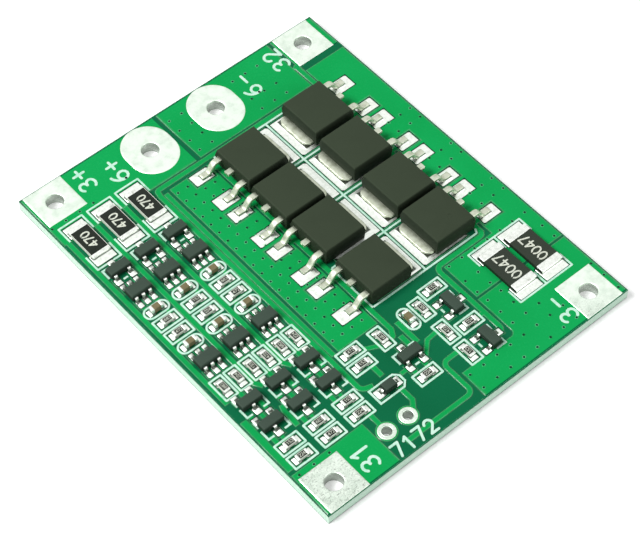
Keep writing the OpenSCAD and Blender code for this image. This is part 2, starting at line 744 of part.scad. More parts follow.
balancer_package(0);  // balancer_package_1
balancer_package(1);  // balancer_package_2
balancer_package(2);  // balancer_package_3
monitor_leads();
balancer_leads();
switch_packages();
switch_leads();
diode_package();
diode_leads();
chip_resistor_bodies();
chip_resistor_coats();
chip_capacitor_bodies();
chip_caps();
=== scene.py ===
# %% [markdown]
# # A battery management board
# The board guards three lithium cells in series: eight power transistors carry the pack's
# current, two black shunts measure it, and three equal channels of small parts watch one cell
# each. The CAD model already holds every part at its real size. This lesson dresses it: each
# surface gets its finish, and the forms that are too soft for CAD, such as solder, tin, rounded
# mouldings and the lacquer's shoulders over the copper, are computed here as surfaces.
#
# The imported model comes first, because every place and height below is read from it.

import json
import math
import bpy
import numpy as np
from mathutils import Matrix, Vector

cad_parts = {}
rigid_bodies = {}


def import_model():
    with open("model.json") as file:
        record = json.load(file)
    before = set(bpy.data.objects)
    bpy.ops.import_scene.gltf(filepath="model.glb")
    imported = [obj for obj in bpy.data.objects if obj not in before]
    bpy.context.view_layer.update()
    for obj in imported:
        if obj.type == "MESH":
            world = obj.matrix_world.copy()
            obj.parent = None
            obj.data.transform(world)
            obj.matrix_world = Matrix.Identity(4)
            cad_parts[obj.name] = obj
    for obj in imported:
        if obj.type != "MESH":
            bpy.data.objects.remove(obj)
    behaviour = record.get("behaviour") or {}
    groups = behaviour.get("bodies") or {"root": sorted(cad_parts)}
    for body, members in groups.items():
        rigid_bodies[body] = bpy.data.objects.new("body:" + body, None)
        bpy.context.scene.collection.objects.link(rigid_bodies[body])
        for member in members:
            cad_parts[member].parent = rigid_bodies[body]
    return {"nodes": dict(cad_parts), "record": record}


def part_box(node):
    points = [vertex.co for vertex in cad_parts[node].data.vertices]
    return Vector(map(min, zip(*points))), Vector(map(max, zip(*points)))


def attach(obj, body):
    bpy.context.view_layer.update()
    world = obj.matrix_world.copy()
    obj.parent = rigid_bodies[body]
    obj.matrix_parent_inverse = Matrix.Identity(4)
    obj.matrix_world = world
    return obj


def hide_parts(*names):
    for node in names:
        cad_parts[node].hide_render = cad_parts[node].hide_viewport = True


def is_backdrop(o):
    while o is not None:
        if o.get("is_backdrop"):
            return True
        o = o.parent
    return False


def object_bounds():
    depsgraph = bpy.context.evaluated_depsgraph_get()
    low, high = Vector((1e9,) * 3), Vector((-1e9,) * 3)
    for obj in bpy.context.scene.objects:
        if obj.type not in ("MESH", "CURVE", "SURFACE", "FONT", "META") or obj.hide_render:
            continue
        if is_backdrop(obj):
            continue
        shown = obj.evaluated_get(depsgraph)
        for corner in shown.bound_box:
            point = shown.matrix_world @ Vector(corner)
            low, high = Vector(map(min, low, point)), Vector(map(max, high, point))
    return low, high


for leftover in list(bpy.data.objects):
    bpy.data.objects.remove(leftover)
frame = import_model()
cad_low, cad_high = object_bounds()

MM = 0.001
nodes = frame["nodes"]
print("nodes:", len(nodes), "box in mm:", [round(v / MM, 2) for v in (*cad_low, *cad_high)])

# %% [markdown]
# ## Reading places from the frame
# Many parts share one node, such as the caps of all the small resistors. Their single boxes are
# found by sorting the node's triangles into separate solids: every triangle takes the lowest
# label of its three points until nothing changes any more. It works on whole arrays, so even the
# largest node takes a moment. Lengths are in millimetres from here on, as on a drawing.

# %% Boxes of nodes and of the solids in them
def box(node):
    """Lowest and highest corner of a node, in millimetres."""
    low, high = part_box(node)
    return np.array(low) / MM, np.array(high) / MM


def triangles(node):
    """Points (n, 3) in millimetres and triangles (m, 3) of a node, equal points merged."""
    mesh = nodes[node].data
    points = np.empty(len(mesh.vertices) * 3)
    mesh.vertices.foreach_get("co", points)
    corners = np.empty(len(mesh.loops), dtype=np.int64)
    mesh.loops.foreach_get("vertex_index", corners)
    grain = 1e-4
    keys = np.round(points.reshape(-1, 3) / MM / grain).astype(np.int64)
    keys, where = np.unique(keys, axis=0, return_inverse=True)
    return keys * grain, where.ravel()[corners].reshape(-1, 3)


def solids(node):
    """Box of each separate solid in a node: an array (solids, 2, 3) of low and high corners."""
    points, tris = triangles(node)
    label = np.arange(len(points))
    while True:
        lower = label.copy()
        np.minimum.at(lower, tris.ravel(), np.repeat(label[tris].min(axis=1), 3))
        lower = lower[lower]
        if np.array_equal(lower, label):
            break
        label = lower
    owners, index = np.unique(label, return_inverse=True)
    index = index.ravel()
    low = np.full((len(owners), 3), np.inf)
    high = np.full((len(owners), 3), -np.inf)
    np.minimum.at(low, index, points)
    np.maximum.at(high, index, points)
    return np.stack([low, high], axis=1)


MASK_TOP = box("mask_top")[1][2]
FOIL_TOP = box("copper_top")[1][2]
SEAT = box("land_cell_plus")[1][2]
LEGEND_TOP = box("legend")[1][2]
CORE_TOP = box("laminate")[1][2]
BARE_TOP = CORE_TOP + MASK_TOP - FOIL_TOP
print("heights:", [round(float(z), 3) for z in (CORE_TOP, BARE_TOP, FOIL_TOP, MASK_TOP, SEAT)])

# %% [markdown]
# ## Surfaces from arrays
# A shape here is a pair: an array of points, and a list of face arrays. Three builders are
# enough for the whole board. A stack of rings makes mouldings, caps and lands. A section carried
# along a path makes leads. A height over a rectangle makes solder and coats. Every shape is
# closed, and its signed volume tells whether its faces point outwards.

# %% Rings, stacks and patches
def quads(rows, columns, wrap_rows=False, wrap_columns=False):
    """Faces of a grid of points. The index of point (i, j) is i * columns + j."""
    i = np.arange(rows if wrap_rows else rows - 1)[:, None]
    j = np.arange(columns if wrap_columns else columns - 1)[None, :]
    i2, j2 = (i + 1) % rows, (j + 1) % columns
    faces = [i * columns + j, i * columns + j2, i2 * columns + j2, i2 * columns + j]
    return np.stack([f.ravel() for f in faces], axis=-1)


def volume(points, faces):
    """Signed volume: the sum over a fan of triangles of a . (b x c) / 6."""
    total = 0.0
    for block in faces:
        corners = points[block]
        a, b, c = corners[:, :1], corners[:, 1:-1], corners[:, 2:]
        total += (a * np.cross(b, c)).sum() / 6
    return total


def outward(points, faces):
    """The same shape, with its faces turned round if it is inside out."""
    middle = points.mean(axis=0)
    if volume(points - middle, faces) < 0:
        faces = [block[:, ::-1] for block in faces]
    return points, faces


def stack(rings):
    """Rings (k, n, 3) joined by quads, with the first and the last ring closed by a face."""
    rows, columns = rings.shape[:2]
    first = np.arange(columns)[None, ::-1]
    last = np.arange(columns)[None, :] + (rows - 1) * columns
    return outward(rings.reshape(-1, 3), [quads(rows, columns, wrap_columns=True), first, last])


def torus(rings):
    """Rings (k, n, 3) joined by quads, the last one to the first again."""
    return outward(rings.reshape(-1, 3), [quads(*rings.shape[:2], True, True)])


def round_outline(width, depth, radius, steps=4):
    """Rectangle about the origin with quarter circles at its corners: (4 * (steps + 1), 2)."""
    turn = np.linspace(0, math.pi / 2, steps + 1)
    signs = [(1, 1), (-1, 1), (-1, -1), (1, -1)]
    arcs = [np.stack([sx * (width / 2 - radius) + radius * np.cos(turn + k * math.pi / 2),
                      sy * (depth / 2 - radius) + radius * np.sin(turn + k * math.pi / 2)], axis=-1)
            for k, (sx, sy) in enumerate(signs)]
    return np.concatenate(arcs)


def moved(shape, x=0.0, y=0.0, z=0.0, turn=0.0):
    """A shape turned about Z by an angle in degrees, then moved."""
    points, faces = shape
    c, s = math.cos(math.radians(turn)), math.sin(math.radians(turn))
    spin = np.array([[c, s, 0], [-s, c, 0], [0, 0, 1]])
    return points @ spin + np.array([x, y, z]), faces


# %% One object from several shapes
def piece(name, shapes, paint, stands_for=(), smooth=40, marks=None):
    """Joins shapes into one object, in metres, that rides on the board. Edges sharper than the
    angle smooth stay crisp. marks is a value for each point, kept as the attribute mark."""
    points = np.concatenate([p for p, _ in shapes])
    starts = np.cumsum([0] + [len(p) for p, _ in shapes])
    faces = [row for start, (_, blocks) in zip(starts, shapes)
             for block in blocks for row in (block + start).tolist()]
    mesh = bpy.data.meshes.new(name)
    mesh.from_pydata((points * MM).tolist(), [], faces)
    mesh.shade_smooth()
    mesh.set_sharp_from_angle(angle=math.radians(smooth))
    if marks is not None:
        layer = mesh.attributes.new("mark", "FLOAT", "POINT")
        layer.data.foreach_set("value", np.concatenate(marks).astype(np.float32))
    mesh.materials.append(paint)
    made = bpy.data.objects.new(name, mesh)
    bpy.context.scene.collection.objects.link(made)
    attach(made, "root")
    if stands_for:
        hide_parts(*stands_for)
    print(f"{name}: {len(points)} points, {len(faces)} faces")
    return made


# %% [markdown]
# ## Shader maths as Python
# A finish is a sum of patterns. Wiring them by hand hides the formula, so a small class wraps an
# output socket and turns +, -, * and / into Math nodes. Everything else goes through one method,
# which takes a node's type, its settings and its inputs.

# %% Signals and paints
class Signal:
    """An output socket whose operators add Math nodes."""

    def __init__(self, paint, socket):
        self.paint, self.socket = paint, socket

    def math(self, operation, first, second=0.0):
        return self.paint.add("ShaderNodeMath", {"operation": operation}, {0: first, 1: second})

    def __add__(self, other):
        return self.math("ADD", self, other)

    def __sub__(self, other):
        return self.math("SUBTRACT", self, other)

    def __mul__(self, other):
        return self.math("MULTIPLY", self, other)

    def __truediv__(self, other):
        return self.math("DIVIDE", self, other)

    def __radd__(self, other):
        return self.math("ADD", other, self)

    def __rsub__(self, other):
        return self.math("SUBTRACT", other, self)

    def __rmul__(self, other):
        return self.math("MULTIPLY", other, self)

    def __abs__(self):
        return self.math("ABSOLUTE", self)

    def ramp(self, start, end):
        """0 below start, 1 above end, and a smooth S between them."""
        settings = {"interpolation_type": "SMOOTHSTEP"}
        return self.paint.add("ShaderNodeMapRange", settings, {0: self, 1: start, 2: end})


class Graph:
    """A node tree, of a material or of the world."""

    def __init__(self, tree):
        self.tree = tree

    def add(self, kind, settings=None, inputs=None, output=0):
        """Adds a node of any type: settings first, then values or links for its sockets."""
        node = self.tree.nodes.new(kind)
        for label, value in (settings or {}).items():
            setattr(node, label, value)
        for label, value in (inputs or {}).items():
            self.feed(node.inputs[label], value)
        return Signal(self, node.outputs[output])

    def feed(self, socket, value):
        """Links a signal to a socket, or sets a plain value there."""
        if isinstance(value, Signal):
            self.tree.links.new(value.socket, socket)
        elif isinstance(value, tuple) and len(value) == 3 and socket.type == "RGBA":
            socket.default_value = (*value, 1.0)
        else:
            socket.default_value = value

    def seen_bright(self):
        """1 for rays from the camera, a mirror or clear glass, and 0 for light on matt surfaces."""
        camera, mirror, glass = (self.add("ShaderNodeLightPath", output=f"Is {ray} Ray")
                                 for ray in ("Camera", "Glossy", "Transmission"))
        return camera.math("MAXIMUM", camera, mirror.math("MAXIMUM", mirror, glass))


class Paint(Graph):
    """A material: constants for its shader, and nodes for what changes over the surface."""

    def __init__(self, name, **constants):
        self.material = bpy.data.materials.new(name)
        self.material.use_nodes = True
        super().__init__(self.material.node_tree)
        self.shader = self.tree.nodes["Principled BSDF"]
        for label, value in constants.items():
            self.shader.inputs[label.replace("_", " ")].default_value = value

    def set(self, **inputs):
        """Feeds the shader's own sockets."""
        for label, value in inputs.items():
            self.feed(self.shader.inputs[label.replace("_", " ")], value)
        return self

    def place(self, stretch=(1.0, 1.0, 1.0)):
        """Object coordinates in millimetres, stretched along each axis."""
        at = self.add("ShaderNodeTexCoord", output="Object")
        scale = tuple(s / MM for s in stretch)
        return self.add("ShaderNodeMapping", {"vector_type": "POINT"}, {"Vector": at, "Scale": scale})

    def height(self):
        """Height over the floor in millimetres."""
        return self.add("ShaderNodeSeparateXYZ", None, {0: self.place()}, output=2)

    def mark(self):
        """The value that a piece keeps for each of its points."""
        return self.add("ShaderNodeAttribute", {"attribute_name": "mark"}, output="Fac")

    def noise(self, per_mm, detail=3.0, roughness=0.55, stretch=(1.0, 1.0, 1.0)):
        """Cloudy noise from 0 to 1, with so many features on a millimetre."""
        inputs = {"Vector": self.place(stretch), "Scale": per_mm, "Detail": detail,
                  "Roughness": roughness}
        return self.add("ShaderNodeTexNoise", None, inputs)

    def mix(self, first, second, factor):
        """From one colour to another."""
        return self.add("ShaderNodeMix", {"data_type": "RGBA"}, {0: factor, 6: first, 7: second}, 2)

    def darken(self, factor, tone):
        """Lays a tone over the base colour so far, by a factor."""
        under = Signal(self, self.shader.inputs["Base Color"].links[0].from_socket)
        return self.set(Base_Color=self.mix(under, tone, factor))

    def bump(self, height, strength, depth_mm):
        """Fine relief that feeds the shader's normal."""
        inputs = {"Height": height, "Strength": strength, "Distance": depth_mm * MM}
        self.set(Normal=self.add("ShaderNodeBump", None, inputs))
        return self


def clouded(name, dark, light, cloud, rough, edges=None, relief=None, **constants):
    """A finish that one cloud drives: its colour goes from dark to light, its roughness is
    rough[0] + rough[1] * cloud, and relief is the strength and depth of its bump."""
    paint = Paint(name, **constants)
    body = paint.noise(*cloud)
    share = body.ramp(*edges) if edges else body
    paint.set(Base_Color=paint.mix(dark, light, share), Roughness=rough[0] + body * rough[1])
    return (paint.bump(body, *relief) if relief else paint).material


# %% [markdown]
# ## The green lacquer
# Solder mask is a clear green lacquer. Over bright copper it looks a fresh, light green; over the
# laminate nothing sends the light back, and it looks dark. The height of the surface tells which
# of the two lies below, so one finish serves both faces of the board: the distance from the
# board's middle plane is larger over copper. The lacquer thins on the shoulder of a trace, and
# that strip has a finish of its own, which follows the share of the slope that each of its points
# keeps. Its pale line near the top of the slope is partly the thinner lacquer and partly a painted
# highlight, a glint of the lamp painted into the colour.

# %% Lacquer
def lacquer_paint():
    """Two greens, by the surface's distance from the board's middle plane."""
    middle = (MASK_TOP + box("mask_bottom")[0][2]) / 2
    paint = Paint("green_lacquer", IOR=1.5, Specular_IOR_Level=0.05)
    reach = abs(paint.height() - middle)
    over_copper = reach.ramp(BARE_TOP - middle + 0.01, MASK_TOP - middle - 0.008)
    cloud = paint.noise(0.09, 2.0)
    grain = paint.noise(3.5, 4.0, 0.65)
    bare = paint.mix((0.003, 0.122, 0.046), (0.005, 0.175, 0.071), cloud)
    copper = paint.mix((0.003, 0.325, 0.066), (0.008, 0.44, 0.112), cloud)
    copper = paint.mix(copper, (0.010, 0.47, 0.13), grain.ramp(0.55, 0.8) * 0.35)
    paint.set(Base_Color=paint.mix(bare, copper, over_copper), Roughness=0.2 + grain * 0.14)
    return paint.bump(paint.noise(2.2, 3.0), 0.25, 0.01).material


def shoulder_paint():
    """The same lacquer where it bends, and glossier: from the light green to the dark down the slope, with
    a pale line near its top that is partly thinner lacquer and partly a painted highlight.
    """
    paint = Paint("lacquer_shoulder", IOR=1.5, Specular_IOR_Level=0.45)
    slope_part = paint.mark()
    cloud = paint.noise(1.1, 4.0, 0.7)
    thick = paint.mix((0.004, 0.33, 0.075), (0.003, 0.11, 0.042), slope_part.ramp(0.1, 0.75))
    # painted highlight: the pale, broken line near the top of the slope, partly thinner lacquer and partly
    # a glint painted into the colour
    pale = slope_part.ramp(0.0, 0.25) * (1 - slope_part.ramp(0.25, 0.6)) * cloud.ramp(0.35, 0.6)
    paint.set(Base_Color=paint.mix(thick, (0.10, 0.62, 0.28), pale * 0.6), Roughness=0.16 + cloud * 0.16)
    return paint.material


lacquer = lacquer_paint()
shoulder_lacquer = shoulder_paint()

# %% [markdown]
# ## Laminate, copper and ink
# The laminate shows only at the sawn rim: layers of glass cloth in pale resin, whose ends catch
# the light as fine lines. The copper lies under the lacquer. The legend is screen printed ink,
# white with a cast of the green below, a little thinner along some strokes.

# %% Laminate, copper, ink
def laminate_paint():
    """Layers across the thickness, as a sine of the height, broken up by stretched strands."""
    paint = Paint("glass_laminate", Specular_IOR_Level=0.2)
    layers = paint.add("ShaderNodeMath", {"operation": "SINE"}, {0: paint.height() * 38.0})
    strands = paint.noise(2.4, 4.0, 0.7, (1.0, 1.0, 5.0))
    cloth = (layers * 0.25 + strands).ramp(0.3, 0.75)
    colour = paint.mix((0.55, 0.80, 0.62), (0.74, 0.95, 0.82), cloth)
    paint.set(Base_Color=colour, Roughness=0.55 + strands * 0.3)
    return paint.bump(cloth, 0.4, 0.03).material


def ink_paint(name, dark, light, per_mm):
    return clouded(name, dark, light, (per_mm, 4.0, 0.7), (0.45, 0.25), (0.25, 0.6), (0.3, 0.01),
                   Specular_IOR_Level=0.2)


laminate = laminate_paint()
copper = clouded("copper_foil", (0.62, 0.30, 0.19), (0.80, 0.44, 0.30), (0.8, 4.0), (0.25, 0.3),
                 relief=(0.2, 0.01), Metallic=1.0)
legend_ink = ink_paint("legend_ink", (0.40, 0.80, 0.60), (0.66, 0.92, 0.78), 1.6)
code_ink = ink_paint("code_ink", (0.42, 0.46, 0.38), (0.78, 0.82, 0.70), 4.0)

# %% [markdown]
# ## Tin, solder and tinned frames
# Tin is a soft white metal. On the wire lands it was blown level with hot air, which leaves
# shallow pillows, fine scratches from handling and some dull flecks. Reflowed solder is brighter
# and wavier, with a dark rim where it meets a lead: painted shade in the crease of the joint.
# Stamped frames are satin; their tin is set darker, partly as painted shade, and goes near black
# along the lower edge, painted shade where they meet the pad.

# %% Metals
def tin_paint(name, dull, bright, per_mm, roughness):
    """White metal with soft clouds of two tones. Gives the paint and the clouds."""
    paint = Paint(name, Metallic=1.0)
    cloud = paint.noise(per_mm, 4.0, 0.6)
    colour = paint.mix(dull, bright, cloud.ramp(0.3, 0.6))
    return paint.set(Base_Color=colour, Roughness=roughness + cloud * 0.2), cloud


def land_tin_paint():
    """Worn by a point's mark, in grit and flecks, and darker down in the hole: painted shade, the lower the
    surface the darker.
    """
    paint, cloud = tin_paint("levelled_tin", (0.74, 0.86, 0.74), (0.88, 0.98, 0.87), 0.8, 0.3)
    grit = paint.noise(5.5, 5.0, 0.8).ramp(0.42, 0.6)
    flecks = paint.noise(2.6, 5.0, 0.75, (1.0, 1.6, 1.0)).ramp(0.5, 0.62)
    worn = paint.mark() * (0.3 + grit * 0.7) * (0.35 + flecks * 0.65)
    paint.darken(worn, (0.16, 0.19, 0.16))
    # painted shade: the tin darkens with depth down the plated hole
    paint.darken((1 - paint.height().ramp(SEAT - 0.5, SEAT - 0.04)) * 0.75, (0.30, 0.33, 0.30))
    return paint.bump(cloud + worn * 0.4, 0.5, 0.05).material


def solder_paint():
    """Bright, with painted shade where the mark nears 1: the crease at the foot of a lead or cap goes
    nearly black.
    """
    paint, cloud = tin_paint("reflowed_solder", (0.78, 0.84, 0.76), (0.93, 0.97, 0.91), 2.4, 0.28)
    # painted shade: nearly black in the crease where the solder meets a lead or cap
    paint.darken(paint.mark().ramp(0.34, 0.8) * 0.92, (0.03, 0.04, 0.026))
    return paint.bump(cloud, 0.5, 0.04).material


def power_frame_paint():
    """Satin tin, set darker than the leads' tin, partly for its own yellowish tone and partly as painted
    shade, and near black towards the lower edge: painted shade where the frame meets the pad.
    """
    # painted shade: these tones are lower than the leads' tin because the tabs lie in shade
    paint, cloud = tin_paint("power_frame_tin", (0.46, 0.50, 0.38), (0.62, 0.66, 0.54), 1.4, 0.34)
    # painted shade: the lower part of the frame goes near black, for its shaded side above the pad
    unshaded = (paint.height() + cloud * 0.1).ramp(SEAT + 0.2, SEAT + 0.32)
    paint.darken(1 - unshaded, (0.03, 0.034, 0.022))
    return paint.bump(cloud, 0.25, 0.02).material


def lead_tin_paint():
    """Even satin tin."""
    paint, cloud = tin_paint("lead_tin", (0.76, 0.79, 0.73), (0.93, 0.95, 0.90), 2.0, 0.26)
    return paint.bump(cloud, 0.25, 0.02).material


def cap_tin_paint():
    """Tin with a few stained spots."""
    paint, cloud = tin_paint("tinned_cap", (0.74, 0.78, 0.72), (0.92, 0.95, 0.90), 3.0, 0.26)
    stain_and_shade = paint.noise(1.2, 5.0, 0.7).ramp(0.56, 0.7)
    paint.darken(stain_and_shade * 0.45, (0.30, 0.31, 0.25))
    return paint.bump(cloud, 0.5, 0.03).material


land_tin = land_tin_paint()
solder_metal = solder_paint()
power_frame_tin = power_frame_paint()
lead_tin = lead_tin_paint()
cap_tin = cap_tin_paint()

# %% [markdown]
# ## Mouldings, ceramic and glass
# Moulding compound is epoxy full of fine silica: almost black, matt, with a hint of olive, and
# pitted like fine sandpaper. The film resistors are white alumina under a glassy black coat.
# The little capacitors are fired ceramic, tan and dense.

# %% Mouldings and ceramics
def moulding_paint(name, dark, light, roughness, top):
    """Moulding compound whose upper face, near the height top, is painted a little lighter than its sides:
    painted light, for the top that faces the lamp.
    """
    paint = Paint(name, Specular_IOR_Level=0.14)
    sand = paint.noise(9.0, 5.0, 0.75)
    cloud = paint.noise(0.35, 2.0)
    # painted light: the upper face is made lighter than the sides, as the lamp would make it
    painted_top_light = paint.height().ramp(top - 0.3, top - 0.05) * 0.6
    colour = paint.mix(dark, light, (sand * 0.3 + cloud * 0.3 + painted_top_light).ramp(0.2, 1.0))
    paint.set(Base_Color=colour, Roughness=roughness + sand * 0.2)
    return paint.bump(sand, 0.45, 0.012).material


def ceramic_paint(name, dark, light, per_mm):
    return clouded(name, dark, light, (per_mm, 4.0, 0.7), (0.4, 0.25), relief=(0.35, 0.012),
                   Specular_IOR_Level=0.3)


power_moulding = moulding_paint("power_moulding", (0.018, 0.027, 0.015), (0.038, 0.053, 0.031), 0.55,
                                box("power_package_1")[1][2])
small_moulding = moulding_paint("small_moulding", (0.016, 0.028, 0.020), (0.052, 0.080, 0.060), 0.5,
                                box("switch_packages")[1][2])
shunt_moulding = moulding_paint("shunt_moulding", (0.012, 0.017, 0.012), (0.034, 0.044, 0.032), 0.38,
                                box("shunt_body_1")[1][2])
alumina = ceramic_paint("alumina", (0.60, 0.62, 0.54), (0.82, 0.83, 0.76), 3.0)
capacitor_ceramic = ceramic_paint("capacitor_ceramic", (0.12, 0.10, 0.045), (0.27, 0.23, 0.12), 2.5)
glassy_coat = clouded("glassy_coat", (0.010, 0.014, 0.010), (0.022, 0.030, 0.022), (1.2, 3.0),
                      (0.2, 0.25), relief=(0.4, 0.02), Specular_IOR_Level=0.16)

# %% [markdown]
# ## Painting the CAD nodes
# The frame's record says which slot each node belongs to, so one table from slot to finish
# paints them all, also those that a computed piece stands for further down.

# %% Nodes by slot
FINISHES = {"laminate": laminate, "copper": copper, "solder_mask": lacquer, "legend": legend_ink,
            "solder": solder_metal, "tinned_land": land_tin, "power_moulding": power_moulding,
            "tinned_frame": power_frame_tin, "shunt_moulding": shunt_moulding, "tinned_cap": cap_tin,
            "ceramic": alumina, "resistor_coat": glassy_coat, "small_moulding": small_moulding,
            "tinned_lead": lead_tin, "capacitor_ceramic": capacitor_ceramic}
for part in frame["record"]["subparts"]:
    mesh = nodes[part["node"]].data
    mesh.materials.clear()
    mesh.materials.append(FINISHES[part["material_slot"]])

# %% [markdown]
# ## Shoulders of the lacquer
# The lacquer flows over the copper's edge and leaves a soft slope, not a step. The CAD mask has
# vertical steps, so a thin wedge is carried along them. Every wall of the step gives a directed
# edge at its top; at each of its points the mitre of the two walls that meet there carries one
# closed section outwards and down.

# %% Shoulders
def step_edges(node, top, foot):
    """Upper edges of the walls between two heights: points (n, 2), edges (m, 2) between them,
    and each edge's outward normal (m, 2), taken from its triangle."""
    points, tris = triangles(node)
    z = points[:, 2][tris]
    near = 1e-3
    wall = (np.abs(z - top) < near).sum(axis=1) == 2
    wall &= (np.abs(z - foot) < near).sum(axis=1) == 1
    tris, z = tris[wall], z[wall]
    shift = np.argmin(np.abs(z - top) < near, axis=1)
    order = (shift[:, None] + np.arange(3)) % 3
    tris = np.take_along_axis(tris, order, axis=1)
    start, end = points[tris[:, 1]], points[tris[:, 2]]
    along = (end - start)[:, :2]
    along /= np.linalg.norm(along, axis=1, keepdims=True)
    cross = np.cross(start - points[tris[:, 0]], end - points[tris[:, 0]])[:, :2]
    normal = np.stack([along[:, 1], -along[:, 0]], axis=1)
    normal *= np.sign((normal * cross).sum(axis=1))[:, None]
    return points[:, :2], tris[:, 1:], normal


def shoulders(node, top, foot, spread):
    """A closed wedge along every step: at each point the mitre (a + b) / (1 + a . b) of its two
    walls' normals a and b moves the section outwards, while a cosine lets it down to the foot."""
    points, edges, normals = step_edges(node, top, foot)
    total = np.zeros_like(points)
    np.add.at(total, edges.ravel(), np.repeat(normals, 2, axis=0))
    square = (total ** 2).sum(axis=1, keepdims=True)
    mitre = 2 * total / np.maximum(square, 0.6)
    used, index = np.unique(edges, return_inverse=True)
    edges = index.reshape(edges.shape)
    fall = np.linspace(0, 1, 6)
    lift = math.copysign(0.0015, top - foot)
    out = np.concatenate([[-0.06], spread * fall, [spread, -0.06]])
    level = foot + (top - foot) * (1 + np.cos(math.pi * fall)) / 2 + lift * (1 - fall)
    z = np.concatenate([[top + lift / 3], level, [foot - 8 * lift, foot - 8 * lift]])
    flat = points[used][:, None, :] + mitre[used][:, None, :] * out[None, :, None]
    rings = np.concatenate([flat, np.broadcast_to(z[None, :, None], (*flat.shape[:2], 1))], axis=2)
    count = len(out)
    a, b = edges[:, :1] * count, edges[:, 1:] * count
    k = np.arange(count)[None, :]
    k2 = (k + 1) % count
    faces = np.stack([a + k, b + k, b + k2, a + k2], axis=-1).reshape(-1, 4)
    share = np.concatenate([[0.0], fall, [1.0, 1.0]])
    return outward(rings.reshape(-1, 3), [faces]), np.tile(share, len(used))


SHOULDER = 0.13
MASK_LOW = box("mask_bottom")[0][2]
BARE_LOW = MASK_LOW + MASK_TOP - BARE_TOP
for name, node, top, foot in (("upper_shoulders", "mask_top", MASK_TOP, BARE_TOP),
                              ("lower_shoulders", "mask_bottom", MASK_LOW, BARE_LOW)):
    wedge, share = shoulders(node, top, foot, SHOULDER)
    piece(name, [wedge], shoulder_lacquer, (), 60, [share])

# %% [markdown]
# ## Openings round the pads, and the sawn rim
# The lacquer stays a tenth of a millimetre clear of each pad, so a dark line frames the solder:
# partly the bare laminate's own colour and partly painted shade of the gap, as the ring lies flat
# on the lacquer. It is a flat ring between two rectangles. At the board's rim the saw breaks
# the lacquer away, and a pale bevel of laminate shows all round.

# %% Frames from two rectangles
def frame_ring(low, high, grow, levels):
    """A closed ring: rectangles grown by each value in grow, at the heights in levels."""
    centre, half = (low + high)[:2] / 2, (high - low)[:2] / 2
    signs = np.array([(-1, -1), (1, -1), (1, 1), (-1, 1)])
    rings = [np.column_stack([centre + signs * (half + g), np.full(4, z)]) for g, z in zip(grow, levels)]
    return torus(np.stack(rings))


# painted shade: the clearance ring is near black, partly bare laminate and partly the shade in the gap
bare_board_and_shade = clouded("bare_clearance", (0.003, 0.035, 0.016), (0.006, 0.085, 0.038), (2.5, 3.0),
                     (0.5, 0.2), Specular_IOR_Level=0.1)
sawn_board = clouded("sawn_bevel", (0.34, 0.70, 0.48), (0.66, 0.94, 0.78), (2.2, 5.0, 0.75), (0.6, 0.2),
                     (0.3, 0.6), (0.4, 0.02), Specular_IOR_Level=0.15)

pads = solids("solder")
CLEAR = 0.12
lift = MASK_TOP + 0.003
grow = (-0.004, 0.0, CLEAR, CLEAR + 0.02, 0.0)
levels = (lift - 0.02, lift, lift, lift - 0.02, lift - 0.03)
piece("bare_clearances", [frame_ring(low, high, grow, levels) for low, high in pads],
      bare_board_and_shade, (), 30)

BEVEL = 0.11
shapes = [frame_ring(*box("laminate"), (-BEVEL, 0.0, 0.0, -BEVEL),
                     (z + 0.002 * up, z - 0.05 * up, z - 0.1 * up, z - 0.1 * up))
          for z, up in ((BARE_TOP, 1), (BARE_LOW, -1))]
piece("sawn_rim", shapes, sawn_board, (), 30)

# %% [markdown]
# ## Solder
# Solder wets the whole pad, lies thin at its rim and climbs the metal that stands in it. Its
# height is a sum: a film that rolls off at the pad's rim, and a fillet that dies away with the
# distance from the part's foot. The same distance darkens the narrow crease at the foot, as
# painted shade.
# The pads come from the frame's solder node, and the feet from the nodes of leads and caps.

# %% Feet and joints
rng = np.random.default_rng(11)


def cuts(low, high, edges, count):
    """Places of grid lines: even ones, and closer ones around the edges of the foot."""
    close = np.add.outer(edges, (-0.015, 0.02, 0.06, 0.11, -0.06)).ravel()
    places = np.concatenate([np.linspace(low, high, count), close])
    places = np.sort(places[(places >= low) & (places <= high)])
    keep = np.concatenate([[True], np.diff(places) > 0.012])
    keep[-1] = True
    return places[keep]


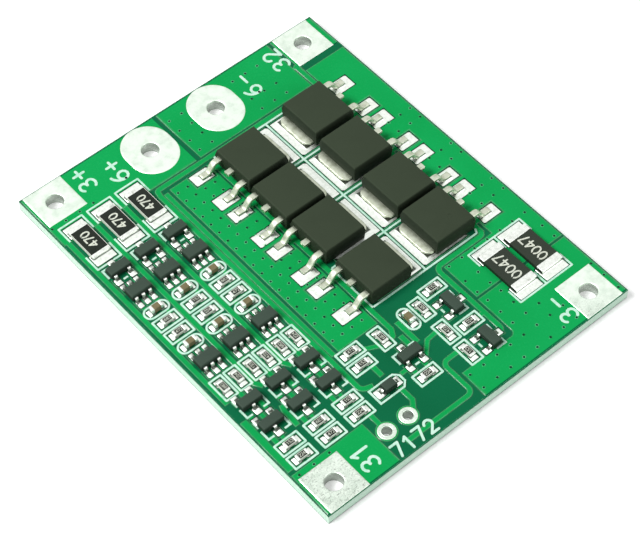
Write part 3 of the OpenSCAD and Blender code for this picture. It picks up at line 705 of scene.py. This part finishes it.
def joint(pad, foot, rise, spread, bulge, count):
    """Solder on one pad. Height over the foil = roll * (film + bulge * pillow + ripple +
    rise * exp(-distance / spread)), with roll = 1 - exp(-rim distance / 0.06 mm)."""
    (x0, y0), (x1, y1) = pad[0][:2], pad[1][:2]
    x, y = np.meshgrid(cuts(x0, x1, foot[:, 0], count), cuts(y0, y1, foot[:, 1], count), indexing="ij")
    u, v = (x - x0) / (x1 - x0), (y - y0) / (y1 - y0)
    rim = np.minimum(np.minimum(x - x0, x1 - x), np.minimum(y - y0, y1 - y))
    roll = 1 - np.exp(-rim / 0.06)
    out = [np.maximum(np.maximum(foot[0][k] - c, c - foot[1][k]), 0) for k, c in enumerate((x, y))]
    away = np.hypot(*out)
    pillow = np.sqrt(np.clip(16 * u * (1 - u) * v * (1 - v), 0, 1))
    phase = rng.uniform(0, 6.28, 4)
    ripple = np.sin(3.1 * x + phase[0]) * np.sin(3.7 * y + phase[1])
    ripple += 0.6 * np.sin(7.3 * x + phase[2]) * np.sin(6.1 * y + phase[3])
    bulge = bulge * rng.uniform(0.5, 1.4)
    z = FOIL_TOP + roll * (SEAT - FOIL_TOP + bulge * pillow + 0.012 * (ripple + 0.6)
                           + rise * np.exp(-away / spread))
    points = np.stack([x, y, z], axis=-1).reshape(-1, 3)
    n, m = x.shape
    index = np.arange(n * m).reshape(n, m)
    rim_loop = np.concatenate([index[:, 0], index[-1, 1:], index[-2::-1, -1], index[0, -2:0:-1]])
    shape = outward(points, [quads(n, m), rim_loop[None, ::-1]])
    # the second value marks the crease at the foot, for painted shade in the solder's colour
    return shape, np.exp(-away / (0.9 * spread)).ravel()


def touching(pad, feet):
    """The box among feet that overlaps the pad most in plan, or None."""
    low = np.maximum(feet[:, 0, :2], pad[0][:2])
    high = np.minimum(feet[:, 1, :2], pad[1][:2])
    area = np.prod(np.clip(high - low, 0, None), axis=1)
    return feet[np.argmax(area)] if area.max() > 0 else None


cap_nodes = ["chip_caps"] + [n for n in nodes if n.startswith(("shunt_caps", "bleed_resistor_caps"))]
lead_nodes = ["monitor_leads", "balancer_leads", "switch_leads", "diode_leads"]
package_nodes = ["switch_packages", "diode_package"]
package_nodes += [n for n in nodes if n.startswith(("monitor_package", "balancer_package"))]
caps = np.concatenate([solids(n) for n in cap_nodes])
leads = np.concatenate([solids(n) for n in lead_nodes])
packages = np.concatenate([solids(n) for n in package_nodes])
print("pads:", len(pads), "caps:", len(caps), "small leads:", len(leads), "packages:", len(packages))


def heading(part, bodies):
    """Way along its longer side, in degrees from +X, in which a lead leaves the nearest body."""
    middle = part.mean(axis=0)[:2]
    away = middle - bodies.mean(axis=1)[:, :2]
    way = away[np.argmin(np.hypot(*away.T))]
    axis = int(np.argmax((part[1] - part[0])[:2]))
    return (0 if way[0] > 0 else 180) if axis == 0 else (90 if way[1] > 0 else -90)


def outer_end(part, turn, length):
    """The last stretch of a box, seen along a heading."""
    end = part.copy()
    axis = 0 if turn in (0, 180) else 1
    if turn in (0, 90):
        end[0][axis] = end[1][axis] - length
    else:
        end[1][axis] = end[0][axis] + length
    return end


# %% [markdown]
# ## Power transistors
# Each of the eight is a black moulding on a stamped and tinned frame. The plate under the chip
# shows as a tab at one end; at the other, two leads step down to their pads and the middle one is
# cropped short. Mouldings leave the tool with drafted sides, soft edges and a witness mark of the
# ejector pin. The leads are one rounded section carried along an S.

# %% Mouldings
def moulding(low, high, parting, drafts, corner, edge, witness=None):
    """A moulded body between two corners. The inset of the ring at height z grows straight from
    the parting line by the draft, plus edge * (1 - cos a) over a quarter turn at the rims. The
    top face runs in to the round witness mark (x, y, radius, depth), where there is one."""
    centre, size = (low + high) / 2, high - low
    turn = np.linspace(0, math.pi / 2, 4)
    rise, inset = edge * np.sin(turn), edge * (1 - np.cos(turn))
    z = np.concatenate([low[2] + edge - rise[::-1], [parting], high[2] - edge + rise])
    reach = np.concatenate([(parting - z[:4]) / (parting - low[2]) * drafts[0] + inset[::-1], [0.0],
                            (z[5:] - parting) / (high[2] - parting) * drafts[1] + inset])
    outlines = [round_outline(size[0] - 2 * r, size[1] - 2 * r, max(corner - 0.5 * r, 0.02)) for r in reach]
    rings = [np.column_stack([outline, np.full(20, level)]) for outline, level in zip(outlines, z)]
    if witness is not None:
        x, y, radius, depth = witness
        rim = rings[-1][:, :2] - (x, y)
        ray = rim / np.linalg.norm(rim, axis=1, keepdims=True)
        for r, fall in ((radius, 0), (0.93 * radius, 0.8), (0.86 * radius, 1), (0.7 * radius, 0.6),
                        (0.3 * radius, 0.5)):
            rings.append(np.column_stack([ray * r + (x, y), np.full(20, high[2] - fall * depth)]))
    return moved(stack(np.stack(rings)), centre[0], centre[1])


def swept(path, width, thickness, edge, taper=0.06):
    """A rounded section carried along a path of (run, height) points. The section stands square
    to the path, and shrinks by the taper at both ends, so that they are soft too."""
    tangent = np.gradient(path, axis=0)
    tangent /= np.linalg.norm(tangent, axis=1, keepdims=True)
    normal = np.stack([-tangent[:, 1], tangent[:, 0]], axis=1)
    section = round_outline(width, thickness, edge, 2)
    path = np.concatenate([path[:1], path, path[-1:]])
    path[1] += tangent[0] * taper
    path[-2] -= tangent[-1] * taper
    normal = np.concatenate([normal[:1], normal, normal[-1:]])
    shrink = np.ones(len(path))
    shrink[[0, -1]] = 1 - 2 * taper / thickness
    across = section[None, :, 0] * (1 - (1 - shrink[:, None]) * thickness / width)
    flat = path[:, None, :] + normal[:, None, :] * (section[None, :, 1] * shrink[:, None])[..., None]
    return stack(np.stack([flat[..., 0], across, flat[..., 1]], axis=-1))


def slope(start, end, high, low, count=9):
    """An S from one height to another: half a turn of a cosine, as (run, height) points."""
    t = np.linspace(0, 1, count)
    return np.stack([start + (end - start) * t, low + (high - low) * (1 + np.cos(math.pi * t)) / 2], 1)


# %% The eight of them
FRAME_T = 0.5
LEAD_START, BEND_START, BEND_RUN = 0.4, 0.72, 1.25
BODY_DRAFTS, BODY_CORNER, BODY_EDGE = (0.12, 0.24), 0.14, 0.07
WITNESS = (0.9, -1.2, 0.42, 0.05)
TAB_HIDDEN, TAB_CORNER, STUB_WIDTH = 1.2, 0.9, 0.8
power_feet = []
for number in range(1, 9):
    body_low, body_high = box(f"power_package_{number}")
    parts = solids(f"power_frame_{number}")
    centre = (body_low + body_high) / 2
    plate = parts[np.argmax((parts[:, 1] - parts[:, 0])[:, 1])]
    turn = 0 if plate.mean(axis=0)[0] < centre[0] else 180
    exit_z = plate[1][2] - FRAME_T / 2
    foot_z = SEAT + FRAME_T / 2
    half = (body_high - body_low)[0] / 2
    mark = WITNESS if number == 8 else None
    body = moulding(body_low, body_high, exit_z, BODY_DRAFTS, BODY_CORNER, BODY_EDGE, mark)
    piece(f"power_moulding_{number}", [body], power_moulding,
          [f"power_package_{number}"], 50)
    shapes = []
    for part in parts:
        middle = part.mean(axis=0)
        if np.array_equal(part, plate):
            continue
        end = np.max(np.abs(part[:, 0] - centre[0]))
        path = np.concatenate([[[half - LEAD_START, exit_z], [half + BEND_START / 2, exit_z]],
                               slope(half + BEND_START, half + BEND_START + BEND_RUN, exit_z, foot_z),
                               [[end - 0.4, foot_z], [end, foot_z]]])
        lead = swept(path, np.ptp(part[:, 1]), FRAME_T, 0.12)
        shapes.append(moved(lead, centre[0], middle[1], 0, turn))
        power_feet.append(outer_end(part, turn, end - half - BEND_START - BEND_RUN))
    reach = np.max(np.abs(plate[:, 0] - centre[0]))
    stub = np.min(np.abs(plate[:, 0] - centre[0]))
    path = np.array([[run, exit_z] for run in (half - LEAD_START, half + 0.3, stub - 0.1, stub)])
    shapes.append(moved(swept(path, STUB_WIDTH, FRAME_T, 0.1), centre[0], centre[1], 0, turn))
    width = np.ptp(plate[:, 1])
    heights = np.array([0, 0.06, FRAME_T / 2, FRAME_T - 0.1, FRAME_T - 0.03, FRAME_T])
    insets = np.array([0.05, 0, 0, 0, 0.03, 0.1])
    length = reach - half + TAB_HIDDEN
    rings = [np.column_stack([round_outline(length - 2 * i, width - 2 * i, TAB_CORNER - i, 6),
                              np.full(28, SEAT + h)]) for h, i in zip(heights, insets)]
    tab = moved(stack(np.stack(rings)), length / 2 - reach)
    shapes.append(moved(tab, centre[0], centre[1], 0, turn))
    power_feet.append(plate)
    piece(f"power_frame_tinned_{number}", shapes, power_frame_tin,
          [f"power_frame_{number}"], 45)

# %% [markdown]
# ## Small mouldings and their leads
# The channel chips and the little switches are the same thing at a smaller size: a drafted body
# and thin leads bent like a gull's wing.

# %% Small packages and leads
shapes = []
for low, high in packages:
    shapes.append(moulding(low, high, low[2] + 0.45 * (high[2] - low[2]), (0.06, 0.09), 0.08, 0.05))
piece("small_mouldings", shapes, small_moulding, package_nodes, 50)

LEAD_T = 0.13
FOOT_FROM = 0.44
shapes, lead_feet = [], []
for part in leads:
    turn = heading(part, packages)
    low, high = part
    run = np.ptp(part[:, 0 if turn in (0, 180) else 1])
    width = np.ptp(part[:, 1 if turn in (0, 180) else 0])
    exit_z, foot_z = high[2] - LEAD_T / 2, SEAT + LEAD_T / 2
    path = np.concatenate([[[0.0, exit_z], [0.22, exit_z]],
                           slope(0.27, FOOT_FROM + 0.04, exit_z, foot_z, 7),
                           [[run - 0.05, foot_z], [run, foot_z]]])
    lead = swept(path, width, LEAD_T, 0.04, 0.02)
    start = part.mean(axis=0)[:2] - run / 2 * np.array([math.cos(math.radians(turn)),
                                                        math.sin(math.radians(turn))])
    shapes.append(moved(lead, start[0], start[1], 0, turn))
    lead_feet.append(outer_end(part, turn, run - FOOT_FROM))
piece("small_leads", shapes, lead_tin, lead_nodes, 50)

# %% [markdown]
# ## Caps and coats
# A chip part's metal caps are dipped, so their edges are round. On a film resistor they wrap over
# and under the body and leave its sides bare, so a cap is a hair narrower than the body is. The
# film resistors carry a glassy coat whose rim is drawn down by its own surface tension.

# %% Soft blocks for the caps
def soft_block(low, high, edge):
    """A block with rounded edges: rings of a rounded rectangle, whose inset and height follow a
    quarter circle at the foot and at the top."""
    centre, size = (low + high) / 2, high - low
    turn = np.linspace(0, math.pi / 2, 4)
    z = np.concatenate([low[2] + edge * (1 - np.cos(turn)), high[2] - edge * (1 - np.sin(turn))])
    inset = np.concatenate([edge * (1 - np.sin(turn)), edge * (1 - np.cos(turn))])
    rings = [np.column_stack([round_outline(size[0] - 2 * i, size[1] - 2 * i, 1.2 * edge, 3),
                              np.full(16, level)]) for i, level in zip(inset, z)]
    return moved(stack(np.stack(rings)), centre[0], centre[1])


HAIR = np.array([0.004, 0.004, 0.0])
piece("dipped_caps", [soft_block(low + HAIR, high - HAIR, 0.05) for low, high in caps],
      cap_tin, cap_nodes, 50)


def coat(low, high, dome):
    """A coat between two corners. Height = foot + thickness * (1 - u^8) * (1 - v^8), with the
    dome's share of (1 - u^2) * (1 - v^2) on top: flat in the middle, rolled down at the rim."""
    u, v = np.meshgrid(np.linspace(-1, 1, 13), np.linspace(-1, 1, 9), indexing="ij")
    u, v = np.sin(u * math.pi / 2), np.sin(v * math.pi / 2)
    x = (low[0] + high[0]) / 2 + u * (high[0] - low[0]) / 2
    y = (low[1] + high[1]) / 2 + v * (high[1] - low[1]) / 2
    z = low[2] + (high[2] - low[2]) * (1 - u ** 8) * (1 - v ** 8) + dome * (1 - u ** 2) * (1 - v ** 2)
    index = np.arange(u.size).reshape(u.shape)
    loop = np.concatenate([index[:, 0], index[-1, 1:], index[-2::-1, -1], index[0, -2:0:-1]])
    return outward(np.stack([x, y, z], axis=-1).reshape(-1, 3), [quads(*u.shape), loop[None, ::-1]])


small_coats = solids("chip_resistor_coats")
bleed_coats = solids("bleed_resistor_coats")
shunt_bodies = np.concatenate([solids(f"shunt_body_{i}") for i in (1, 2)])
piece("small_glass", [coat(low, high, 0.01) for low, high in small_coats],
      glassy_coat, ["chip_resistor_coats"])
piece("bleed_glass", [coat(low, high, 0.02) for low, high in bleed_coats],
      glassy_coat, ["bleed_resistor_coats"])

# %% The solder itself
feet = np.concatenate([caps, np.array(lead_feet), np.array(power_feet)])
shapes, crease_shade = [], []
for pad in pads:
    size = (pad[1] - pad[0])[:2]
    foot = touching(pad, feet)
    if foot is None:
        foot = np.array([pad.mean(axis=0) - 0.05, pad.mean(axis=0) + 0.05])
    tall = min(foot[1][2] - SEAT, 0.9)
    kind = np.searchsorted([1.3, 3.2, 4.5], size.max())
    count, share, spread, bulge, stain_and_shade = ((9, 0.38, 0.1, 0.05, 1.0), (14, 0.3, 0.15, 0.06, 1.0),
                                          (16, 0.3, 0.12, 0.06, 0.9), (24, 0.1, 0.12, 0.02, 0.9))[kind]
    rise = share * tall * rng.uniform(0.75, 1.15)
    shape, near = joint(pad, foot, rise, spread, bulge, count)
    shapes.append(shape)
    # the mark for painted shade in the crease at each foot, scaled by the pad's kind
    crease_shade.append(near * stain_and_shade)
piece("reflowed_solder", shapes, solder_metal, ["solder"], 70, crease_shade)

# %% [markdown]
# ## Wire lands
# A land is tin on copper on both faces, joined through the hole by a plated barrel: topologically
# a ring. Its section is a closed loop of (share of the outline, offset, height) points, and it is
# carried round the hole while its outer reach follows the land's square or obround outline.

# %% Lands and sense rings
HOLES = {"land": 1.1, "sense_ring": 0.6}
WEAR = {"land_tap_2": (0.85, 0.25), "land_cell_minus": (0.1, 0.75), "sense_ring_1": (0.45, 0.0),
        "sense_ring_2": (0.5, 0.0), "land_tap_1": (0.12, 0.1)}


def land(node, square):
    """Each point lies at radius hole * (1 - share) + outline * share + offset, in the direction
    of its angle. The outline's reach is half / max(|cos|, |sin|) for a square, and for an obround
    the distance to a half circle moved along Y. A point's wear is a base value that leans across."""
    low, high = box(node)
    centre = (low + high) / 2
    half = (high - low)[:2] / 2
    hole = HOLES["sense_ring" if node.startswith("sense") else "land"]
    angle = np.linspace(0, 2 * math.pi, 96, endpoint=False)
    c, s = np.cos(angle), np.sin(angle)
    if square:
        reach = half[0] / np.maximum(np.abs(c), np.abs(s))
    else:
        slide = half[1] - half[0]
        rise = slide * np.abs(s)
        reach = rise + np.sqrt(half[0] ** 2 - (slide * c) ** 2)
        straight = np.abs(s) / np.maximum(np.abs(c), 1e-6) * half[0] < slide
        reach = np.where(straight, half[0] / np.maximum(np.abs(c), 1e-6), reach)
    tin = SEAT - FOIL_TOP
    scale = 1.0 if hole > 1 else 0.5
    section = [(0, 0, 0.06), (0, 0, 0.5 * SEAT), (0, 0, SEAT - 0.09), (0, 0.02, SEAT - 0.03),
               (0, 0.07, SEAT + 0.005), (0, 0.16, SEAT + 0.02), (0, 0.34, SEAT + 0.008), (0.35, 0, SEAT),
               (0.55, 0, SEAT + 0.004), (0.8, 0, SEAT + 0.008), (1, -0.3, SEAT + 0.012),
               (1, -0.14, SEAT + 0.004), (1, -0.06, SEAT - 0.3 * tin), (1, -0.015, SEAT - 0.7 * tin),
               (1, 0, FOIL_TOP), (0, 0.12, FOIL_TOP), (0, 0.12, tin), (1, 0, tin),
               (1, -0.03, 0.3 * tin), (1, -0.12, 0.002), (0.5, 0, 0.0), (0, 0.3, 0.0), (0, 0.08, 0.0),
               (0, 0.02, 0.02)]
    share, offset, z = np.array(section).T
    radius = hole * (1 - share[:, None]) + reach[None, :] * share[:, None] + offset[:, None] * scale
    rings = np.stack([centre[0] + radius * c, centre[1] + radius * s,
                      np.broadcast_to(z[:, None], radius.shape)], axis=-1)
    base, lean = WEAR.get(node, (0.08, 0.0))
    across = ((rings[..., 0] - centre[0]) + (rings[..., 1] - centre[1])) / (2 * half[0])
    return torus(rings), np.clip(base - lean * across, 0, 1).ravel()


for node in [n for n in nodes if n.startswith(("land_", "sense_ring"))]:
    square = not node.startswith(("land_pack", "sense_ring"))
    shape, worn = land(node, square)
    piece(f"tinned_{node}", [shape], land_tin, [node], 60, [worn])

# %% [markdown]
# ## Stitching vias
# Small plated holes stitch the pours of the two faces together. The lacquer sinks into each one
# and leaves a dimple with a raised lip. A dimple is a profile turned about its axis, and the rows
# of them are grids between the lands.

# %% Dimples
def dimples(places, radius):
    """Craters at places (n, 2), all at once. The profile is a lip, a hill a seventh as high as
    the radius, round a hollow; the mark is 1 in the hollow and 0 outside."""
    angle = np.linspace(0, 2 * math.pi, 14, endpoint=False)
    r = radius * np.array([1.0, 0.88, 0.76, 0.64, 0.54, 0.40, 0.2])
    z = np.array([-0.006, 0.012, 0.034, 0.040, 0.022, 0.006, 0.002])
    mark = np.array([0.0, 0.0, 0.1, 0.4, 0.9, 1.0, 1.0])
    ring = np.stack([r[:, None] * np.cos(angle), r[:, None] * np.sin(angle),
                     np.broadcast_to(MASK_TOP + z[:, None], (len(r), len(angle)))], axis=-1)
    shapes = [moved(stack(ring), x, y) for x, y in places]
    return shapes, [np.repeat(mark, len(angle))] * len(shapes)


def rows(xs, ys):
    """Every pair of an x and a y."""
    return [(x, y) for x in xs for y in ys]


VIAS = (rows(np.linspace(-7.55, -3.2, 4), np.arange(16.6, -12, -1.55))
        + rows((18.4, 20.3, 21.9), (8.4, 6.6, 1.1, -0.7, -6, -8))
        + rows(np.arange(9.3, 21.5, 2), (-12.25,))
        + rows((9.3, 11.3, 21.5), (-15, -17)) + rows((-1.5, 0.4), (26, 24, 22, 20.1))
        + rows((8.3, 10.3, 12.2), (25.9, 22.2, 20.2)) + rows(np.arange(-22, -14, 2), (22,))
        + rows((-21.55, -19.5, -17.3), (-22.1,)) + rows((21.9,), (-22.6, -24.7, -27))
        + rows(np.arange(1.0, 15.5, 2.05), (-24.7, -26.9))
        + rows(np.arange(9.4, 15.5, 2.05), (-18.6, -20.7, -22.7)))


def dimple_paint():
    """Lacquer green at the rim, a pale painted glint on the lip and painted shade in the hollow: all by the
    mark.
    """
    paint = Paint("filled_via", IOR=1.5, Specular_IOR_Level=0.12)
    cloud = paint.noise(0.8, 2.0)
    rim = paint.mix((0.004, 0.33, 0.075), (0.01, 0.42, 0.12), cloud)
    # painted highlight: a pale glint on part of the lip
    lip = paint.mark().ramp(0.02, 0.35) * cloud.ramp(0.4, 0.55)
    rim = paint.mix(rim, (0.16, 0.66, 0.32), lip)
    # painted shade: the hollow goes nearly black, the shade of the pit
    hollow = paint.mark().ramp(0.45, 0.95)
    paint.set(Base_Color=paint.mix(rim, (0.001, 0.05, 0.02), hollow), Roughness=0.2 + cloud * 0.1)
    return paint.material


shapes, marks = dimples(VIAS, 0.27)
piece("via_dimples", shapes, dimple_paint(), (), 60, marks)

# %% [markdown]
# ## Numbers and signs
# The legend names no maker. Beside each land stands a plain number or a polarity sign, and the
# resistors carry plain digits. A digit is a few strokes on a box one unit high; each stroke is a
# path of points, widened to both sides by its mitre and closed with round ends.

# %% Strokes
def bow(cx, cy, rx, ry, start, end, count=9):
    """Points of an arc of an ellipse."""
    a = np.radians(np.linspace(start, end, count))
    return np.stack([cx + rx * np.cos(a), cy + ry * np.sin(a)], axis=1)


def line(*points):
    """A straight stroke through points."""
    return np.array(points, dtype=float)


STROKES = {
    "0": [bow(0.3, 0.5, 0.3, 0.5, 90, 450, 17)],
    "1": [line((0.08, 0.78), (0.32, 1.0)), line((0.32, 1.0), (0.32, 0.0))],
    "2": [np.concatenate([bow(0.3, 0.71, 0.29, 0.29, 170, -35), line((0.02, 0.0))]),
          line((0.02, 0.0), (0.6, 0.0))],
    "3": [bow(0.28, 0.75, 0.28, 0.25, 150, -85), bow(0.28, 0.26, 0.31, 0.26, 85, -150)],
    "4": [line((0.46, 0.0), (0.46, 1.0)), line((0.46, 1.0), (0.0, 0.3)), line((0.0, 0.3), (0.64, 0.3))],
    "5": [line((0.56, 1.0), (0.1, 1.0)), line((0.1, 1.0), (0.05, 0.55)),
          bow(0.28, 0.32, 0.31, 0.32, 135, -145)],
    "6": [bow(0.62, 0.36, 0.61, 0.64, 100, 180), bow(0.3, 0.3, 0.29, 0.3, 180, 540, 13)],
    "7": [line((0.0, 1.0), (0.6, 1.0)), line((0.6, 1.0), (0.2, 0.0))],
    "8": [bow(0.3, 0.76, 0.25, 0.24, -90, 270, 13), bow(0.3, 0.26, 0.3, 0.26, 90, 450, 13)],
    "+": [line((0.3, 0.12), (0.3, 0.8)), line((0.0, 0.46), (0.6, 0.46))],
    "-": [line((0.0, 0.46), (0.6, 0.46))],
}


def stroke(path, weight, z0, z1):
    """A prism on a path's outline. At each point the mitre (a + b) / (1 + a . b) of the two
    neighbouring stretches' normals, times half the weight, gives the left and the right side."""
    step = np.diff(path, axis=0)
    normal = np.stack([-step[:, 1], step[:, 0]], axis=1) / np.linalg.norm(step, axis=1, keepdims=True)
    a, b = np.concatenate([normal[:1], normal]), np.concatenate([normal, normal[-1:]])
    side = (a + b) / (1 + (a * b).sum(axis=1, keepdims=True)) * weight / 2
    left, right = path + side, (path - side)[::-1]
    half = np.linspace(0, math.pi, 7)[1:-1]

    def cap(end, out, across):
        """Half a circle about the end: sin a along the stroke and cos a across it."""
        return end + (np.sin(half)[:, None] * out + np.cos(half)[:, None] * across) * weight / 2

    ahead = step[-1] / np.linalg.norm(step[-1])
    back = -step[0] / np.linalg.norm(step[0])
    ends = cap(path[-1], ahead, normal[-1]), cap(path[0], back, -normal[0])
    loop = np.concatenate([left, ends[0], right, ends[1]])
    n, m, k = len(loop), len(path), len(half)
    points = np.concatenate([np.column_stack([loop, np.full(n, z)]) for z in (z0, z1)])
    i = np.arange(m - 1)
    r = m + k
    top = np.stack([i, i + 1, r + m - 2 - i, r + m - 1 - i], axis=1)
    far = np.concatenate([np.arange(m - 1, m + k + 1)])[None, :]
    near = np.concatenate([np.arange(r + m - 1, n), [0]])[None, :]
    lid = [top, far, near]
    j = np.arange(n)
    wall = np.stack([j, (j + 1) % n, n + (j + 1) % n, n + j], axis=1)
    return outward(points, [block[:, ::-1] for block in lid] + [wall] + [block + n for block in lid])


OVERPRINT = 0.002


def lettering(text, x, y, height, turn, weight, z0, z1, pitch=0.9):
    """Strokes of a text about its middle, turned in the plane. Where strokes cross, each one
    lies a hair over the one before, as ink on ink does."""
    width = pitch * (len(text) - 1) + 0.62
    shapes = []
    for place, sign in enumerate(text):
        for order, path in enumerate(STROKES[sign]):
            at = (path + (place * pitch - width / 2, -0.5)) * height
            shapes.append(moved(stroke(at, weight, z0, z1 + OVERPRINT * order), x, y, 0, turn))
    return shapes


# %% Numbers beside the lands
LETTER, WEIGHT = 2.1, 0.34
ink = (BARE_TOP - 0.01, LEGEND_TOP)
beside = [("3", -14.9, 24.6, 90), ("+", -14.9, 26.55, 90), ("6", -11.2, 23.1, 90),
          ("+", -11.1, 25.1, 90), ("6", 9.3, 23.1, 90), ("-", 9.5, 25.3, 90), ("32", 14.6, 25.05, 90),
          ("31", -14.85, -25.05, 90), ("3", 14.9, -26.1, 90), ("-", 14.9, -23.9, 90),
          ("71", -10.65, -26.7, 0), ("72", -7.55, -26.7, 0)]
shapes = []
for text, x, y, turn in beside:
    size = LETTER if turn else 1.7
    shapes += lettering(text, x, y, size, turn, WEIGHT if turn else 0.3, *ink)
piece("land_numbers", shapes, legend_ink)

# %% Numbers on the resistors
INK_T = 0.008
shapes = []
for low, high in bleed_coats:
    x, y = (low + high)[:2] / 2
    shapes += lettering("470", x, y, 1.05, 90, 0.2, high[2] - 0.005, high[2] + 0.02 + INK_T, 0.82)
for low, high in shunt_bodies:
    x, y = (low + high)[:2] / 2
    shapes += lettering("0047", x, y, 1.25, 90, 0.2, high[2] - 0.01, high[2] + INK_T, 0.8)
codes = ["683", "224", "153", "472"]
for number, (low, high) in enumerate(small_coats):
    x, y = (low + high)[:2] / 2
    turn = 90 if np.ptp([low[1], high[1]]) > np.ptp([low[0], high[0]]) else 0
    under, over = high[2] - 0.005, high[2] + 0.01 + INK_T
    shapes += lettering(codes[number % 4], x, y, 0.36, turn, 0.05, under, over, 0.8)
piece("resistor_codes", shapes, code_ink)

# %% [markdown]
# ## Floor, light and camera
# The board lies on a plain pale floor. One large soft lamp stands to its left and a little behind,
# so that the sides facing it are as bright as the tops and those facing away fall dark. The world
# is dim for matt surfaces, and white for the camera and for mirrors, so that tin shows a studio.

# %% Studio
floor_mesh = bpy.data.meshes.new("floor")
reach = 3.0
ground = float(cad_low[2])
floor_mesh.from_pydata([(-reach, -reach, ground), (reach, -reach, ground), (reach, reach, ground),
                        (-reach, reach, ground)], [], [(0, 1, 2, 3)])
floor_paint = Paint("pale_floor", Specular_IOR_Level=0.1, Roughness=0.8)
glow = floor_paint.mix((0.0, 0.0, 0.0), (0.34, 0.34, 0.34), floor_paint.seen_bright())
floor_paint.set(Base_Color=(0.86, 0.86, 0.86), Emission_Color=glow, Emission_Strength=1.0)
floor_mesh.materials.append(floor_paint.material)
floor = bpy.data.objects.new("floor", floor_mesh)
bpy.context.scene.collection.objects.link(floor)
floor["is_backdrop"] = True


def lamp(name, direction, distance, size, level):
    """An area lamp that lights a surface facing it to the level: power = pi^2 * distance^2 * level."""
    data = bpy.data.lights.new(name, "AREA")
    data.shape, data.size = "SQUARE", size
    data.energy = math.pi ** 2 * distance ** 2 * level
    made = bpy.data.objects.new(name, data)
    way = Vector(direction).normalized()
    facing = way.to_track_quat("Z", "Y").to_matrix().to_4x4()
    made.matrix_world = Matrix.Translation(way * distance) @ facing
    bpy.context.scene.collection.objects.link(made)
    made.visible_camera = False
    return made


lamp("key", (-0.58, 0.24, 0.78), 0.9, 0.4, 0.92)
lamp("fill", (0.30, -0.80, 0.42), 0.9, 0.5, 0.2)

world = bpy.data.worlds.new("studio")
bpy.context.scene.world = world
world.use_nodes = True
WORLD_LEVEL = 0.3
sky = Graph(world.node_tree)
background = sky.tree.nodes["Background"]
background.inputs["Color"].default_value = (1.0, 1.0, 1.0, 1.0)
sky.feed(background.inputs["Strength"], WORLD_LEVEL + sky.seen_bright() * (1 - WORLD_LEVEL))

# %% Camera
AZIMUTH, ELEVATION, ROLL = math.radians(-39.842), math.radians(53.897), math.radians(-0.903)
DISTANCE = 239.84
target = Vector((-2.113, -2.788, MASK_TOP))
back = Vector((math.sin(AZIMUTH) * math.cos(ELEVATION), -math.cos(AZIMUTH) * math.cos(ELEVATION),
               math.sin(ELEVATION)))
level_right = Vector((math.cos(AZIMUTH), math.sin(AZIMUTH), 0.0))
level_up = back.cross(level_right)
right = level_right * math.cos(ROLL) + level_up * math.sin(ROLL)
up = level_up * math.cos(ROLL) - level_right * math.sin(ROLL)
lens = bpy.data.cameras.new("camera")
lens.sensor_width = 36.0
lens.lens = 117.5
lens.clip_start, lens.clip_end = 0.01, 20.0
camera = bpy.data.objects.new("camera", lens)
place = Matrix((right, up, back)).transposed().to_4x4()
place.translation = (target + back * DISTANCE) * MM
camera.matrix_world = place
bpy.context.scene.collection.objects.link(camera)
bpy.context.scene.camera = camera
bpy.context.scene.view_settings.view_transform = "Standard"

# %% [markdown]
# ## Sizes
# How far the dressed board reaches past the box of the bare one, in millimetres.

# %% Boxes and the end
seen_low, seen_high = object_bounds()
grown = [(a - b) / MM for a, b in zip((*seen_low, *seen_high), (*cad_low, *cad_high))]
print("grown by, in mm:", [round(g, 3) for g in grown])
